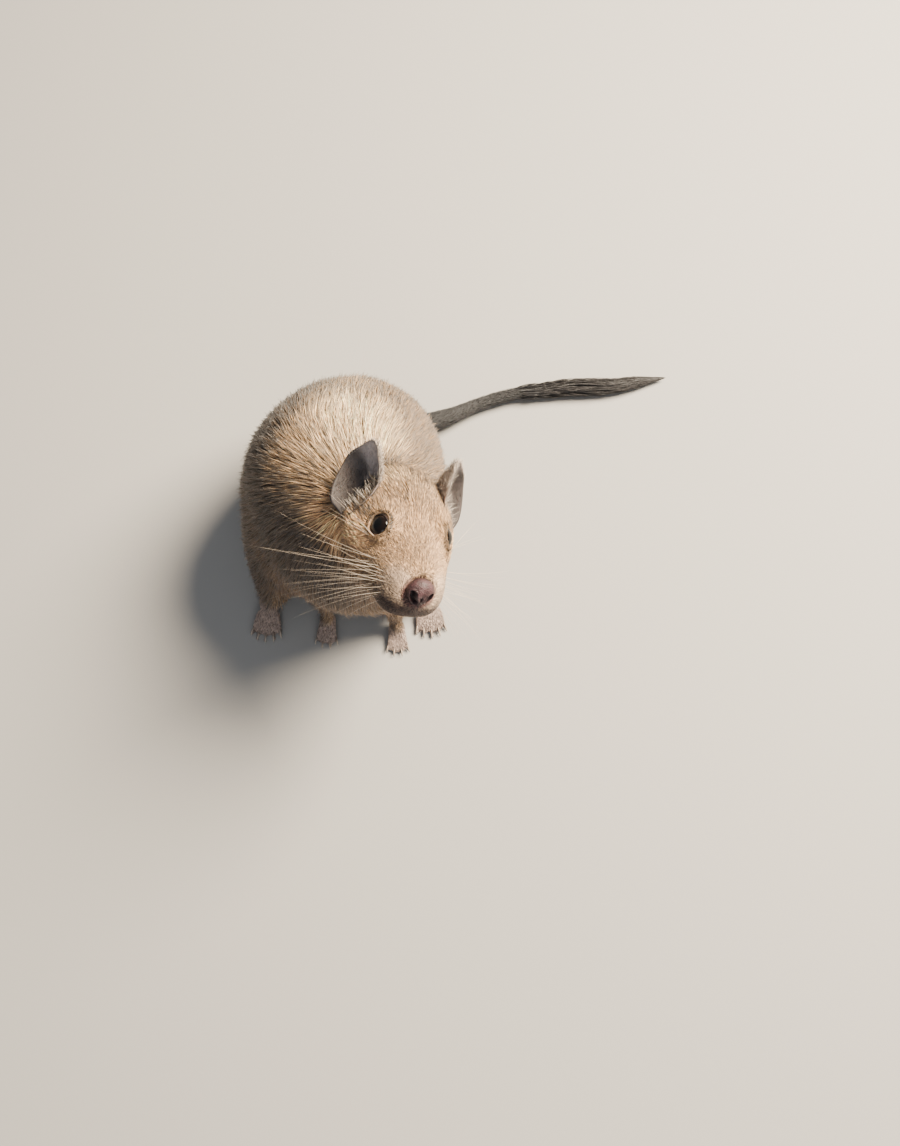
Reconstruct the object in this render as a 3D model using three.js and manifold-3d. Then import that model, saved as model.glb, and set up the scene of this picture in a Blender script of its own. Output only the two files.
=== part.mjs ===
// A degu, life size, sitting hunched on its hind feet, its head raised and turned and its tail laid out behind.
// Millimetres, +Z up. The animal faces -Y, its left side is towards +X, and it rests on the plane Z = 0.
import * as THREE from "three";
import { mergeVertices } from "three/addons/utils/BufferGeometryUtils.js";
import Module from "manifold-3d";

const wasm = await Module();
wasm.setup();

// Driving dimensions
const GAP = 0.3;
const SIDES = { right: -1, left: 1 };
const HEAD = { place: [-21.5, 104.5, 91.0], heading: 19.4, pitch: 35, roll: 34 };
const EYE = { spot: [3.4, 4.0], gaze: [0.3, 0.82, 0.48], radius: 4.1, bulge: 0.9, lid: 0.7 };
const EYE_OPENING = { halfWidth: 3.9, halfHeight: 3.3 };
const NOSE = { place: [24.4, 0, -4.6], depth: 3.4, halfWidth: 4.6, halfHeight: 4.0 };
const MOUTH = { center: [8, 0, -15.2], rise: 1.2, turn: 82, width: 0.8 };
const EAR = { base: [-12.5, 18.5, 0.5], height: 26, width: 18, cup: 5.6, wall: 1.3, rim: 0.6, sunk: 3 };
const EAR_TURN = {
  right: { tip: [-0.12, 0.1, 0.98], opening: [0.5, -0.87, 0] },
  left: { tip: [-0.12, -0.2, 0.98], opening: [0.62, 0.78, 0] },
};
const HIND_FOOT = { length: 27, radius: 5.2, toes: 5, toeLength: 8.5, toeRadius: 1.5, claw: 3.6 };
const ARM_RADII = [11.5, 8.4, 5.4, 4];
const FOREPAW = { length: 7, radius: 3.8, toes: 4, toeLength: 6.2, toeRadius: 1.25, claw: 2.6 };
const TAIL = { sides: 10, cuts: [0.34, 0.58] };
const TAIL_RADII = [[0, 6.4], [0.35, 3.9], [0.59, 3.7], [0.68, 2.5], [0.9, 1.3], [1, 0.4]];
const BRUSH = { from: 0.605, to: 0.9, rows: 8, around: 6, spread: 3.9, finest: 0.06 };
const LOCK = { length: 19, width: 4, thickness: 1.1 };
const COLORS = {
  back: 0x9a8468,
  face: 0xb39a76,
  belly: 0xa5845e,
  ear: 0x4f4744,
  eye: 0x120c0a,
  nose: 0x6d4440,
  foot: 0x8d8580,
  tail: 0x4a423c,
  brush: 0x2b2624,
};

const vec = (p) => new THREE.Vector3(...p);
const radians = THREE.MathUtils.degToRad;
const mix = THREE.MathUtils.lerp;
const UP = new THREE.Vector3(0, 0, 1);

// Head frame: x runs to the nose, y to the animal's left, z to the crown, from the point between the eyes
const headTurn = new THREE.Matrix4()
  .makeRotationZ(radians(HEAD.heading))
  .multiply(new THREE.Matrix4().makeRotationX(radians(-HEAD.pitch)))
  .multiply(new THREE.Matrix4().makeRotationY(radians(HEAD.roll)))
  .multiply(new THREE.Matrix4().makeRotationZ(radians(-90)));
const headMatrix = headTurn.clone().setPosition(vec(HEAD.place));
const headBack = headMatrix.clone().invert();
const onHead = (x, y, z) => new THREE.Vector3(x, y, z).applyMatrix4(headMatrix);

// Rounded forms, each as the distance from a point to its surface
const oval = (center, radii, matrixBack) => {
  const c = vec(center);
  const r = vec(radii);
  const q = new THREE.Vector3();
  return (p) => {
    q.copy(p);
    if (matrixBack) q.applyMatrix4(matrixBack);
    q.sub(c).divide(r);
    const near = q.length();
    if (near < 0.01) return -Math.min(r.x, r.y, r.z);
    return (near * (near - 1)) / q.divide(r).length();
  };
};
const taper = (from, to, fromRadius, toRadius, matrixBack) => {
  const a = vec(from);
  const b = vec(to).sub(a);
  const q = new THREE.Vector3();
  return (p) => {
    q.copy(p);
    if (matrixBack) q.applyMatrix4(matrixBack);
    q.sub(a);
    const t = THREE.MathUtils.clamp(q.dot(b) / b.lengthSq(), 0, 1);
    return q.addScaledVector(b, -t).length() - mix(fromRadius, toRadius, t);
  };
};
const blend = (forms, softness) => (p) => {
  let d = forms[0](p);
  for (let i = 1; i < forms.length; i += 1) {
    const e = forms[i](p);
    const h = Math.max(softness - Math.abs(d - e), 0) / softness;
    d = Math.min(d, e) - (h * h * softness) / 4;
  }
  return d;
};

// Skin of a form, found outwards from a point inside it, and grown by a margin where asked
const skinOf = (field, center, { stretch = [1, 1, 1], detail = 8, grow = 0, turn = null } = {}) => {
  const geometry = new THREE.IcosahedronGeometry(1, detail);
  geometry.deleteAttribute("normal");
  geometry.deleteAttribute("uv");
  const skin = mergeVertices(geometry, 1e-5);
  const spots = skin.attributes.position;
  const ray = new THREE.Vector3();
  const p = new THREE.Vector3();
  const distance = (t) => field(p.copy(center).addScaledVector(ray, t)) - grow;
  for (let i = 0; i < spots.count; i += 1) {
    ray.fromBufferAttribute(spots, i).multiply(vec(stretch)).normalize();
    if (turn) ray.transformDirection(turn);
    let inside = 0;
    let outside = 1;
    for (let d = distance(outside); d < 0; d = distance(outside)) {
      inside = outside;
      outside += Math.max(0.35, -d * 0.6);
    }
    for (let n = 0; n < 14; n += 1) {
      const half = (inside + outside) / 2;
      if (distance(half) > 0) outside = half;
      else inside = half;
    }
    distance(inside);
    spots.setXYZ(i, p.x, p.y, p.z);
  }
  return skin;
};

// Closed geometry to a solid that can be joined and cut, and back
const solid = (geometry, matrix = null) => {
  const bare = geometry.clone();
  bare.deleteAttribute("normal");
  bare.deleteAttribute("uv");
  if (matrix) bare.applyMatrix4(matrix);
  const merged = mergeVertices(bare, 1e-4);
  return new wasm.Manifold(
    new wasm.Mesh({
      numProp: 3,
      vertProperties: new Float32Array(merged.attributes.position.array),
      triVerts: new Uint32Array(merged.index.array),
    }),
  );
};
const largest = (manifold) => manifold.decompose().sort((a, b) => b.volume() - a.volume())[0];
const geometryOf = (manifold) => {
  const { vertProperties, triVerts } = largest(manifold).getMesh();
  const geometry = new THREE.BufferGeometry();
  geometry.setAttribute("position", new THREE.BufferAttribute(vertProperties, 3));
  geometry.setIndex(new THREE.BufferAttribute(triVerts, 1));
  geometry.computeVertexNormals();
  return geometry;
};
const halfSpace = (point, normal, setBack = GAP / 2) => {
  const size = 500;
  const box = new THREE.BoxGeometry(size, size, size);
  box.translate(0, 0, size / 2 + setBack);
  box.applyQuaternion(new THREE.Quaternion().setFromUnitVectors(UP, normal));
  box.translate(point.x, point.y, point.z);
  return solid(box);
};
const aboveFloor = halfSpace(new THREE.Vector3(), UP, 0);

// Closed grid of rings, with one point at each end
const ringed = (rings, start, end) => {
  const sides = rings[0].length;
  const positions = [start, ...rings.flat(), end].flatMap((p) => p.toArray());
  const last = 1 + rings.length * sides;
  const index = [];
  for (let j = 0; j < sides; j += 1) {
    const k = (j + 1) % sides;
    index.push(0, 1 + k, 1 + j);
    for (let a = 1; a < last - sides; a += sides) {
      index.push(a + j, a + k, a + sides + j, a + k, a + sides + k, a + sides + j);
    }
    index.push(last, last - sides + j, last - sides + k);
  }
  const geometry = new THREE.BufferGeometry();
  geometry.setAttribute("position", new THREE.Float32BufferAttribute(positions, 3));
  geometry.setIndex(index);
  return geometry;
};
const tubeAlong = (points, radiusAt, steps, sides, { flatten = 1, over = 0 } = {}) => {
  const curve = new THREE.CatmullRomCurve3(points.map(vec));
  const { tangents, normals, binormals } = curve.computeFrenetFrames(steps, false);
  const spotAt = (i) => {
    const beyond = i === steps ? over : 0;
    return curve.getPointAt(i / steps).addScaledVector(tangents[i], i === 0 ? -over : beyond);
  };
  const rings = normals.map((normal, i) => {
    const center = spotAt(i);
    const radius = radiusAt(i / steps);
    return Array.from({ length: sides }, (_, j) => {
      const a = (j / sides) * Math.PI * 2;
      const spot = center.clone().addScaledVector(normal, Math.cos(a) * radius);
      spot.addScaledVector(binormals[i], Math.sin(a) * radius);
      return spot.setZ(mix(center.z, spot.z, flatten));
    });
  });
  return ringed(rings, spotAt(0), spotAt(steps));
};
const ballAt = (center, radii, matrix, segments = 16) => {
  const ball = new THREE.SphereGeometry(1, segments, Math.round(segments * 0.75));
  ball.scale(...radii);
  ball.translate(...center);
  return solid(ball, matrix);
};

// The flesh, out to the tips of the coat
const bothSides = (make) => Object.values(SIDES).flatMap(make);
const headField = blend(
  [
    oval([-13, 0, 0], [16.5, 17, 14.5], headBack),
    taper([-2, 0, -3], [14.5, 0, -5.8], 12.2, 9.8, headBack),
    ...bothSides((side) => [
      oval([-10, side * 10.5, -8], [12.5, 9.3, 11], headBack),
      oval([4, side * 8, -9], [11, 6.5, 9], headBack),
      oval([17.5, side * 4.8, -11.4], [6.4, 5.6, 6.4], headBack),
      oval([1, side * 7.4, 4.6], [6, 3.6, 3], headBack),
    ]),
    taper([0, 0, -14], [12, 0, -16], 9, 5.4, headBack),
  ],
  6,
);
const nape = onHead(-20, 0, -6).toArray();
const throat = onHead(-6, 0, -13).toArray();
const trunkForms = [
  oval([-47, 159, 31.5], [34, 32, 33]),
  oval([-51.5, 144, 43], [37, 32, 40]),
  oval([-45, 126, 50], [31, 27, 34]),
  oval([-44, 116, 43], [26, 21, 28]),
  taper([-43, 130, 56], nape, 30, 17),
  taper([-41, 112, 50], throat, 20, 11),
];
const LIMBS = {
  right: {
    thigh: oval([-78, 133, 24], [13, 28, 25]),
    knee: taper([-77, 124, 26], [-80, 108, 15], 14, 8.5),
    arm: [[-64, 119, 42], [-61, 108, 26], [-60, 103, 13], [-60, 101, 5]],
    thighRegion: { center: [-84, 128, 18], radii: [22, 34, 32], core: [-75, 124, 22] },
    hindFoot: { heel: [-82, 128, 4.6], aim: [-0.1, -1] },
    forepaw: { heel: [-60, 102, 3.6], aim: [-0.05, -1] },
  },
  left: {
    thigh: oval([-29, 136, 24], [13, 28, 25]),
    knee: taper([-28, 128, 26], [-24, 110, 15], 14, 8.5),
    arm: [[-29, 115, 42], [-31, 104, 26], [-32, 99.5, 13], [-32, 97.5, 5]],
    thighRegion: { center: [-20, 131, 18], radii: [22, 34, 32], core: [-29, 127, 22] },
    hindFoot: { heel: [-22, 129, 4.6], aim: [0.12, -1] },
    forepaw: { heel: [-32, 98.5, 3.6], aim: [0.05, -1] },
  },
};
const limbFlesh = ({ thigh, knee, arm }) => blend([thigh, knee, taper(arm[0], arm[1], 12, 8)], 6);
const flesh = blend([blend(trunkForms, 16), limbFlesh(LIMBS.right), limbFlesh(LIMBS.left), headField], 10);

// Cuts between head, neck and torso
const headCut = {
  point: onHead(6, 0, -20.5),
  normal: new THREE.Vector3(0.75, 0, 0.66).transformDirection(headMatrix),
};
const neckCut = {
  point: new THREE.Vector3(-33, 108, 64),
  normal: new THREE.Vector3(0.3, -0.3, 0.9).normalize(),
};
const sideOf = (cut, sign) => halfSpace(cut.point, cut.normal.clone().multiplyScalar(sign));

const degu = new THREE.Group();
const addNode = (name, manifold, color, roughness = 0.9) => {
  const material = new THREE.MeshStandardMaterial({ color, roughness, metalness: 0 });
  const mesh = new THREE.Mesh(geometryOf(manifold), material);
  mesh.name = name;
  degu.add(mesh);
};

// Head, with sockets and lids, a cleft upper lip and the line of the mouth
const headSkin = (grow) => {
  const whole = skinOf(flesh, onHead(0, 0, -3), { stretch: [1.3, 1, 1], detail: 9, grow, turn: headTurn });
  return solid(whole).intersect(sideOf(headCut, 1));
};
const skinSpot = (from, toward) => {
  const start = vec(from);
  const ray = vec(toward).sub(start).normalize();
  let t = 0;
  for (let n = 0; n < 40; n += 1) {
    const spot = start.clone().addScaledVector(ray, t);
    t -= flesh(spot.applyMatrix4(headMatrix)) * 0.7;
  }
  return start.addScaledVector(ray, t);
};
const gazeOf = (side) => new THREE.Vector3(EYE.gaze[0], side * EYE.gaze[1], EYE.gaze[2]).normalize();
const eyePlace = (side) => {
  const [x, z] = EYE.spot;
  const lidSpot = skinSpot([x, 0, z], [x, side, z]);
  return lidSpot.addScaledVector(gazeOf(side), EYE.bulge - EYE.radius).toArray();
};
const eyeBall = (side, radius) => ballAt(eyePlace(side), [radius, radius, radius], headMatrix, 12);
const lidOpening = (side) => {
  const slit = new THREE.CylinderGeometry(1.5, 0.6, EYE.radius * 2, 16);
  slit.scale(EYE_OPENING.halfWidth, 1, EYE_OPENING.halfHeight);
  slit.translate(0, EYE.radius * 1.45, 0);
  slit.applyQuaternion(new THREE.Quaternion().setFromUnitVectors(new THREE.Vector3(0, 1, 0), gazeOf(side)));
  slit.translate(...eyePlace(side));
  return solid(slit, headMatrix);
};
const nosePad = (grow) =>
  ballAt(NOSE.place, [NOSE.depth + grow, NOSE.halfWidth + grow, NOSE.halfHeight + grow], headMatrix, 16);
const mouthLine = () => {
  const [x, y, z] = MOUTH.center;
  const spots = Array.from({ length: 9 }, (_, n) => {
    const a = radians(mix(-MOUTH.turn, MOUTH.turn, n / 8));
    const height = z + MOUTH.rise * Math.cos(2 * a);
    return skinSpot([x, y, height], [x + Math.cos(a), y + Math.sin(a), height]).toArray();
  });
  const widthAt = (t) => MOUTH.width * (0.3 + 0.7 * Math.sin(Math.PI * t));
  return solid(tubeAlong(spots, widthAt, 14, 6), headMatrix);
};
const lipCleft = () => {
  const [x] = MOUTH.center;
  const heights = [NOSE.place[2] - 3, NOSE.place[2] - 6.5, MOUTH.center[2] + 0.5];
  const spots = heights.map((z) => skinSpot([x, 0, z], [x + 1, 0, z]).toArray());
  return solid(tubeAlong(spots, () => MOUTH.width * 0.75, 5, 6), headMatrix);
};
let head = headSkin(0);
for (const side of Object.values(SIDES)) {
  head = head.add(eyeBall(side, EYE.radius + GAP + EYE.lid));
  head = head.subtract(lidOpening(side)).subtract(eyeBall(side, EYE.radius + GAP));
}
addNode("head", head.subtract(nosePad(GAP)).subtract(mouthLine()).subtract(lipCleft()), COLORS.face);
for (const [name, side] of Object.entries(SIDES)) {
  addNode(`eye_${name}`, eyeBall(side, EYE.radius), COLORS.eye, 0.12);
}

// Nose pad with two comma-shaped nostrils
const nostril = (side) => {
  const [x, , z] = NOSE.place;
  const spots = [
    [x + NOSE.depth, side * 1.3, z - 1.7],
    [x + NOSE.depth * 0.93, side * 2.1, z - 0.8],
    [x + NOSE.depth * 0.7, side * 3.2, z - 0.4],
  ];
  return solid(tubeAlong(spots, (t) => 0.35 + 0.5 * Math.sin(Math.PI * mix(0.2, 0.8, t)), 4, 6), headMatrix);
};
addNode("nose", nosePad(0).subtract(nostril(-1)).subtract(nostril(1)), COLORS.nose, 0.55);

// Ears: thin cups that stand on the back corners of the head
const earCup = (name) => {
  const side = SIDES[name];
  const up = vec(EAR_TURN[name].tip).normalize();
  const out = vec(EAR_TURN[name].opening);
  out.addScaledVector(up, -out.dot(up)).normalize();
  const across = up.clone().cross(out);
  const base = new THREE.Vector3(EAR.base[0], side * EAR.base[1], EAR.base[2]);
  const rings = 4;
  const sectors = 18;
  const spot = (r, a, back) => {
    const height = EAR.height * (0.46 + 0.54 * r * Math.cos(a));
    const narrow = 0.6 + 0.4 * Math.sin((Math.PI * 0.85 * height) / EAR.height);
    const hollow = -EAR.cup * (1 - r * r) * (1.15 - 0.3 * r * Math.cos(a));
    return base
      .clone()
      .addScaledVector(up, height - EAR.sunk)
      .addScaledVector(across, (EAR.width / 2) * r * Math.sin(a) * narrow)
      .addScaledVector(out, hollow - (back ? mix(EAR.wall, EAR.rim, r) : 0));
  };
  const ringAt = (r, back) =>
    Array.from({ length: sectors }, (_, j) => spot(r, (j / sectors) * 2 * Math.PI, back));
  const steps = Array.from({ length: rings }, (_, i) => (i + 1) / rings);
  const grid = [...steps.map((r) => ringAt(r, false)), ...steps.reverse().map((r) => ringAt(r, true))];
  return solid(ringed(grid, spot(0, 0, false), spot(0, 0, true)), headMatrix);
};
const neckSkin = (grow) => solid(skinOf(flesh, new THREE.Vector3(-33, 112, 70), { detail: 6, grow }));
const aroundEars = headSkin(GAP).add(neckSkin(GAP));
for (const name of Object.keys(SIDES)) {
  addNode(`ear_${name}`, earCup(name).subtract(aroundEars), COLORS.ear, 0.8);
}

// Neck
addNode("neck", neckSkin(0).intersect(sideOf(headCut, -1)).intersect(sideOf(neckCut, 1)), COLORS.back);

const roundEnd = (t, share) => {
  const end = Math.min(t, 1 - t) / share;
  return end < 1 ? Math.sqrt(Math.max(1 - (1 - end) ** 2, 0.12)) : 1;
};

// Feet: a sole from heel to ball, with toes and claws fused to its front
const footAlong = ({ heel, aim }, size) => {
  const along = new THREE.Vector3(aim[0], aim[1], 0).normalize();
  const start = vec(heel);
  const ball = start.clone().addScaledVector(along, size.length).setZ(size.radius * 0.68);
  return { along, start, ball, across: new THREE.Vector3(-along.y, along.x, 0) };
};
const soleOf = (foot, size, grow = 0) => {
  const { start, ball } = footAlong(foot, size);
  const spots = [start.toArray(), start.clone().lerp(ball, 0.5).toArray(), ball.toArray()];
  const radiusAt = (t) => size.radius * (0.72 + 0.28 * Math.sin(Math.PI * t)) * roundEnd(t, 0.15) + grow;
  return solid(tubeAlong(spots, radiusAt, 7, 10, { flatten: 0.85, over: grow }));
};
const footOf = (foot, size) => {
  const { along, ball, across } = footAlong(foot, size);
  let whole = soleOf(foot, size);
  for (let n = 0; n < size.toes; n += 1) {
    const spread = (n / (size.toes - 1)) * 2 - 1;
    const length = size.toeLength * (1 - 0.25 * spread * spread);
    const root = ball.clone().addScaledVector(along, -1.5);
    root.addScaledVector(across, spread * size.radius * 0.72);
    const heading = along.clone().addScaledVector(across, spread * 0.25).normalize();
    const at = (reach, z) => root.clone().addScaledVector(heading, reach).setZ(z).toArray();
    const toe = [at(0, 2.4), at(length * 0.55, 2.7), at(length + 1.5, size.toeRadius * 0.6)];
    const claw = [at(length, 1.7), at(length + size.claw * 0.7, 1.5), at(length + size.claw, 0.6)];
    whole = whole
      .add(solid(tubeAlong(toe, (t) => size.toeRadius * (1 - 0.25 * t), 3, 6)))
      .add(solid(tubeAlong(claw, (t) => mix(0.7, 0.25, t), 2, 4)));
  }
  return whole.intersect(aboveFloor);
};

// Legs, each parted from the torso by its own rounded region
const thighRegion = ({ center, radii }, grow) => ballAt(center, radii.map((r) => r + grow), null, 20);
const armTube = (arm, grow) => {
  const radii = new THREE.SplineCurve(ARM_RADII.map((r, i) => new THREE.Vector2(i, r)));
  const radiusAt = (t) => radii.getPoint(t).y * roundEnd(Math.min(t, 0.5), 0.12) + grow;
  return solid(tubeAlong(arm, radiusAt, 8, 12, { over: grow }));
};
const tailPoints = [
  [-38, 177, 12],
  [-24, 183, 8],
  [-10, 188.5, 5.4],
  [3, 195, 4.2],
  [20, 200, 3.9],
  [40, 202.3, 3.8],
  [61, 203, 3.4],
  [79, 206.5, 2.4],
];
const tailRadius = (t) => {
  const next = Math.max(TAIL_RADII.findIndex(([along]) => along >= t), 1);
  const [from, to] = [TAIL_RADII[next - 1], TAIL_RADII[next]];
  return mix(from[1], to[1], (t - from[0]) / (to[0] - from[0]));
};
const trunkSkin = skinOf(flesh, new THREE.Vector3(-48, 140, 38), { stretch: [1, 1.2, 1], detail: 8 });
let torso = solid(trunkSkin).intersect(sideOf(neckCut, -1));
const wristCut = { point: new THREE.Vector3(0, 0, 6.4), normal: UP };
for (const [name, limb] of Object.entries(LIMBS)) {
  const sole = soleOf(limb.hindFoot, HIND_FOOT, GAP);
  const thigh = solid(skinOf(flesh, vec(limb.thighRegion.core), { detail: 6, stretch: [1, 1.3, 1] }))
    .intersect(thighRegion(limb.thighRegion, 0))
    .intersect(aboveFloor)
    .subtract(sole)
    .subtract(armTube(limb.arm, GAP));
  torso = torso
    .subtract(thighRegion(limb.thighRegion, GAP))
    .subtract(armTube(limb.arm, GAP))
    .subtract(sole);
  addNode(`thigh_${name}`, thigh, COLORS.back);
  addNode(`foreleg_${name}`, armTube(limb.arm, 0).intersect(sideOf(wristCut, 1)), COLORS.belly);
  addNode(`hind_foot_${name}`, footOf(limb.hindFoot, HIND_FOOT), COLORS.foot, 0.7);
  const forepaw = footOf(limb.forepaw, FOREPAW).intersect(sideOf(wristCut, -1));
  addNode(`forepaw_${name}`, forepaw, COLORS.foot, 0.7);
}

// Tail in three lengths, laid on the floor
const tailTube = (grow) =>
  solid(tubeAlong(tailPoints, (t) => tailRadius(t) + grow, 30, TAIL.sides, { over: grow }));
addNode("torso", torso.intersect(aboveFloor).subtract(tailTube(GAP)), COLORS.back);
const tailCurve = new THREE.CatmullRomCurve3(tailPoints.map(vec));
const tailCut = (t) => ({ point: tailCurve.getPointAt(t), normal: tailCurve.getTangentAt(t) });
const tail = tailTube(0).intersect(aboveFloor);
addNode("tail_base", tail.intersect(sideOf(tailCut(TAIL.cuts[0]), -1)), COLORS.tail);
addNode(
  "tail_middle",
  tail.intersect(sideOf(tailCut(TAIL.cuts[0]), 1)).intersect(sideOf(tailCut(TAIL.cuts[1]), -1)),
  COLORS.tail,
);

// Black brush: flat tapered locks rooted in the core, lying over one another towards the tip
let seed = 23;
const vary = (least, most) => {
  seed = (seed * 16807) % 2147483647;
  return mix(least, most, seed / 2147483647);
};
const brushLock = (t, turn) => {
  const reach = LOCK.length * vary(0.8, 1.1);
  const spread = BRUSH.spread * vary(0.82, 1.08);
  const width = LOCK.width * vary(0.8, 1.15);
  const drift = vary(-0.35, 0.35);
  const spotAt = (share, radius) => {
    const at = t + (share * reach) / tailCurve.getLength();
    const center = tailCurve.getPointAt(Math.min(at, 1));
    const along = tailCurve.getTangentAt(Math.min(at, 1));
    center.addScaledVector(along, Math.max(at - 1, 0) * tailCurve.getLength() * 0.3);
    const across = along.clone().cross(UP).normalize();
    const angle = turn + drift * share;
    const out = across.multiplyScalar(Math.cos(angle)).addScaledVector(UP, Math.sin(angle));
    center.addScaledVector(out, radius);
    return { center, out, side: along.clone().cross(out) };
  };
  const slices = [
    [0.3, 0.72, 0.95, 1],
    [0.68, 0.97, 0.8, 0.85],
  ];
  const rings = slices.map(([share, height, wide, thick]) => {
    const { center, out, side } = spotAt(share, spread * height - LOCK.thickness / 2);
    const halfThick = (LOCK.thickness * thick) / 2;
    const halfWide = (width * wide) / 2;
    return [
      center.clone().addScaledVector(out, halfThick),
      center.clone().addScaledVector(side, halfWide),
      center.clone().addScaledVector(out, -halfThick),
      center.clone().addScaledVector(side, -halfWide),
    ];
  });
  return solid(ringed(rings, spotAt(0, spread * 0.15).center, spotAt(1, spread * 0.9).center));
};
let brush = tail.intersect(sideOf(tailCut(TAIL.cuts[1]), 1));
for (let row = 0; row < BRUSH.rows; row += 1) {
  const t = mix(BRUSH.from, BRUSH.to, row / (BRUSH.rows - 1));
  for (let n = 0; n < BRUSH.around; n += 1) {
    const place = t + vary(0, 0.02);
    const turn = (n + 0.5 * (row % 2) + vary(-0.2, 0.2)) / BRUSH.around;
    brush = brush.add(brushLock(place, turn * 2 * Math.PI));
  }
}
addNode("tail_tip", brush.intersect(aboveFloor).asOriginal().simplify(BRUSH.finest), COLORS.brush);

// The middle of the box, on the floor, is the origin
const box = new THREE.Box3().setFromObject(degu);
degu.position.set((box.min.x + box.max.x) / -2, (box.min.y + box.max.y) / -2, 0);

export default degu;
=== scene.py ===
import math

import bpy
import bmesh
import numpy as np
from mathutils import Matrix, Vector
from mathutils.bvhtree import BVHTree


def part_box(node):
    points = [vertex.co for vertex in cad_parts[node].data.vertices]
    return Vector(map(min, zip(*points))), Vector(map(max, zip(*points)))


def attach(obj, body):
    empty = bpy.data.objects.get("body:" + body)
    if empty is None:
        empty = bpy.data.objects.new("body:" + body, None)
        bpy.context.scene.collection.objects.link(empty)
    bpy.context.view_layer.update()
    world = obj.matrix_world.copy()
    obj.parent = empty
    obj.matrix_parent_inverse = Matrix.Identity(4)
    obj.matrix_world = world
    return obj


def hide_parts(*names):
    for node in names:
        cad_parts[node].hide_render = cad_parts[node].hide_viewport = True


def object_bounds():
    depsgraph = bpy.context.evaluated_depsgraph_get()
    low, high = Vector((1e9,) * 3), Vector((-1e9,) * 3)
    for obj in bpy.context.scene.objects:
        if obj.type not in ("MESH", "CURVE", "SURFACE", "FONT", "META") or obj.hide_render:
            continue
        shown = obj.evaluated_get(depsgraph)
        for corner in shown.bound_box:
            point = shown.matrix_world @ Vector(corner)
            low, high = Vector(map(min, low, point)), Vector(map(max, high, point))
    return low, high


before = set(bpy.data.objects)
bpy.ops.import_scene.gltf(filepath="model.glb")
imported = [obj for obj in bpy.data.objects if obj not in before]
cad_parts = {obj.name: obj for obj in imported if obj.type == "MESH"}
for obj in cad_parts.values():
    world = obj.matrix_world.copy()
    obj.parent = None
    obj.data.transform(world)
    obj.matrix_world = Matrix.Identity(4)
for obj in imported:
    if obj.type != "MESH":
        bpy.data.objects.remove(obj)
cad_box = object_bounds()

# The viewpoint
# The animal is seen steeply from above. Places in this file are in millimetres from the spot on the floor
# right below the viewer's eye, and the nose pad ties them to the frame.
NOSE_SPOT = np.array([-16.561, 82.73, 101.872])
VIEW_HEIGHT = 390.0
VIEW_AXES = ((0.99965, 0.0, -0.02634), (0.00771, 0.95624, 0.29263), (0.02519, -0.29273, 0.95591))
VIEW_FOCAL = 980.0
VIEW_PIXELS = 1146.0


def middle(node):
    low, high = (np.array(corner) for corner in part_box(node))
    return (low + high) / 2


origin = middle("nose") - NOSE_SPOT / 1000.0


def place(x, y, z):
    return np.array([x, y, z]) / 1000.0 + origin


camera_data = bpy.data.cameras.new("viewer")
camera_data.sensor_fit = "AUTO"
camera_data.sensor_width = 36.0
camera_data.lens = 36.0 * VIEW_FOCAL / VIEW_PIXELS
camera_data.clip_start = 0.01
camera = bpy.data.objects.new("viewer", camera_data)
bpy.context.scene.collection.objects.link(camera)
camera_matrix = np.eye(4)
camera_matrix[:3, :3] = np.array(VIEW_AXES).T
camera_matrix[:3, 3] = place(0, 0, VIEW_HEIGHT)
camera.matrix_world = Matrix(camera_matrix.tolist())
bpy.context.scene.camera = camera

# Floor and light
# The model rests on a plain pale studio floor. A broad warm light stands behind and to the right, like low
# sun, with a weak one in front and an even, slightly blue sky, so that shadows stay soft.
FLOOR_SIZE = 3.0
FLOOR_COLOR = (0.31, 0.3, 0.285, 1.0)
SKY_COLOR = (0.86, 0.91, 1.0, 1.0)
SKY_STRENGTH = 0.32
LIGHTS = {
    "sun_light": {"at": (0.57, 0.3, 0.72), "size": 0.55, "power": 77.0, "color": (1.0, 0.86, 0.67)},
    "front_light": {"at": (0.05, -0.85, 0.5), "size": 0.8, "power": 3.4, "color": (0.93, 0.96, 1.0)},
}


def new_material(name, color, roughness):
    material = bpy.data.materials.new(name)
    material.use_nodes = True
    shader = material.node_tree.nodes["Principled BSDF"]
    shader.inputs["Base Color"].default_value = color
    shader.inputs["Roughness"].default_value = roughness
    return material, material.node_tree, shader


def link(tree, source, target):
    tree.links.new(source, target)


def noise_node(tree, scale, detail=3.0, coordinates="Object"):
    where = tree.nodes.new("ShaderNodeTexCoord")
    noise = tree.nodes.new("ShaderNodeTexNoise")
    noise.inputs["Scale"].default_value = scale
    noise.inputs["Detail"].default_value = detail
    link(tree, where.outputs[coordinates], noise.inputs["Vector"])
    return noise.outputs["Fac"]


def mapped(tree, value, low, high, from_low=0.3, from_high=0.7):
    node = tree.nodes.new("ShaderNodeMapRange")
    node.inputs["From Min"].default_value = from_low
    node.inputs["From Max"].default_value = from_high
    node.inputs["To Min"].default_value = low
    node.inputs["To Max"].default_value = high
    link(tree, value, node.inputs["Value"])
    return node.outputs["Result"]


def bump_node(tree, shader, height, distance, strength=1.0):
    bump = tree.nodes.new("ShaderNodeBump")
    bump.inputs["Strength"].default_value = strength
    bump.inputs["Distance"].default_value = distance
    link(tree, height, bump.inputs["Height"])
    link(tree, bump.outputs["Normal"], shader.inputs["Normal"])


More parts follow.
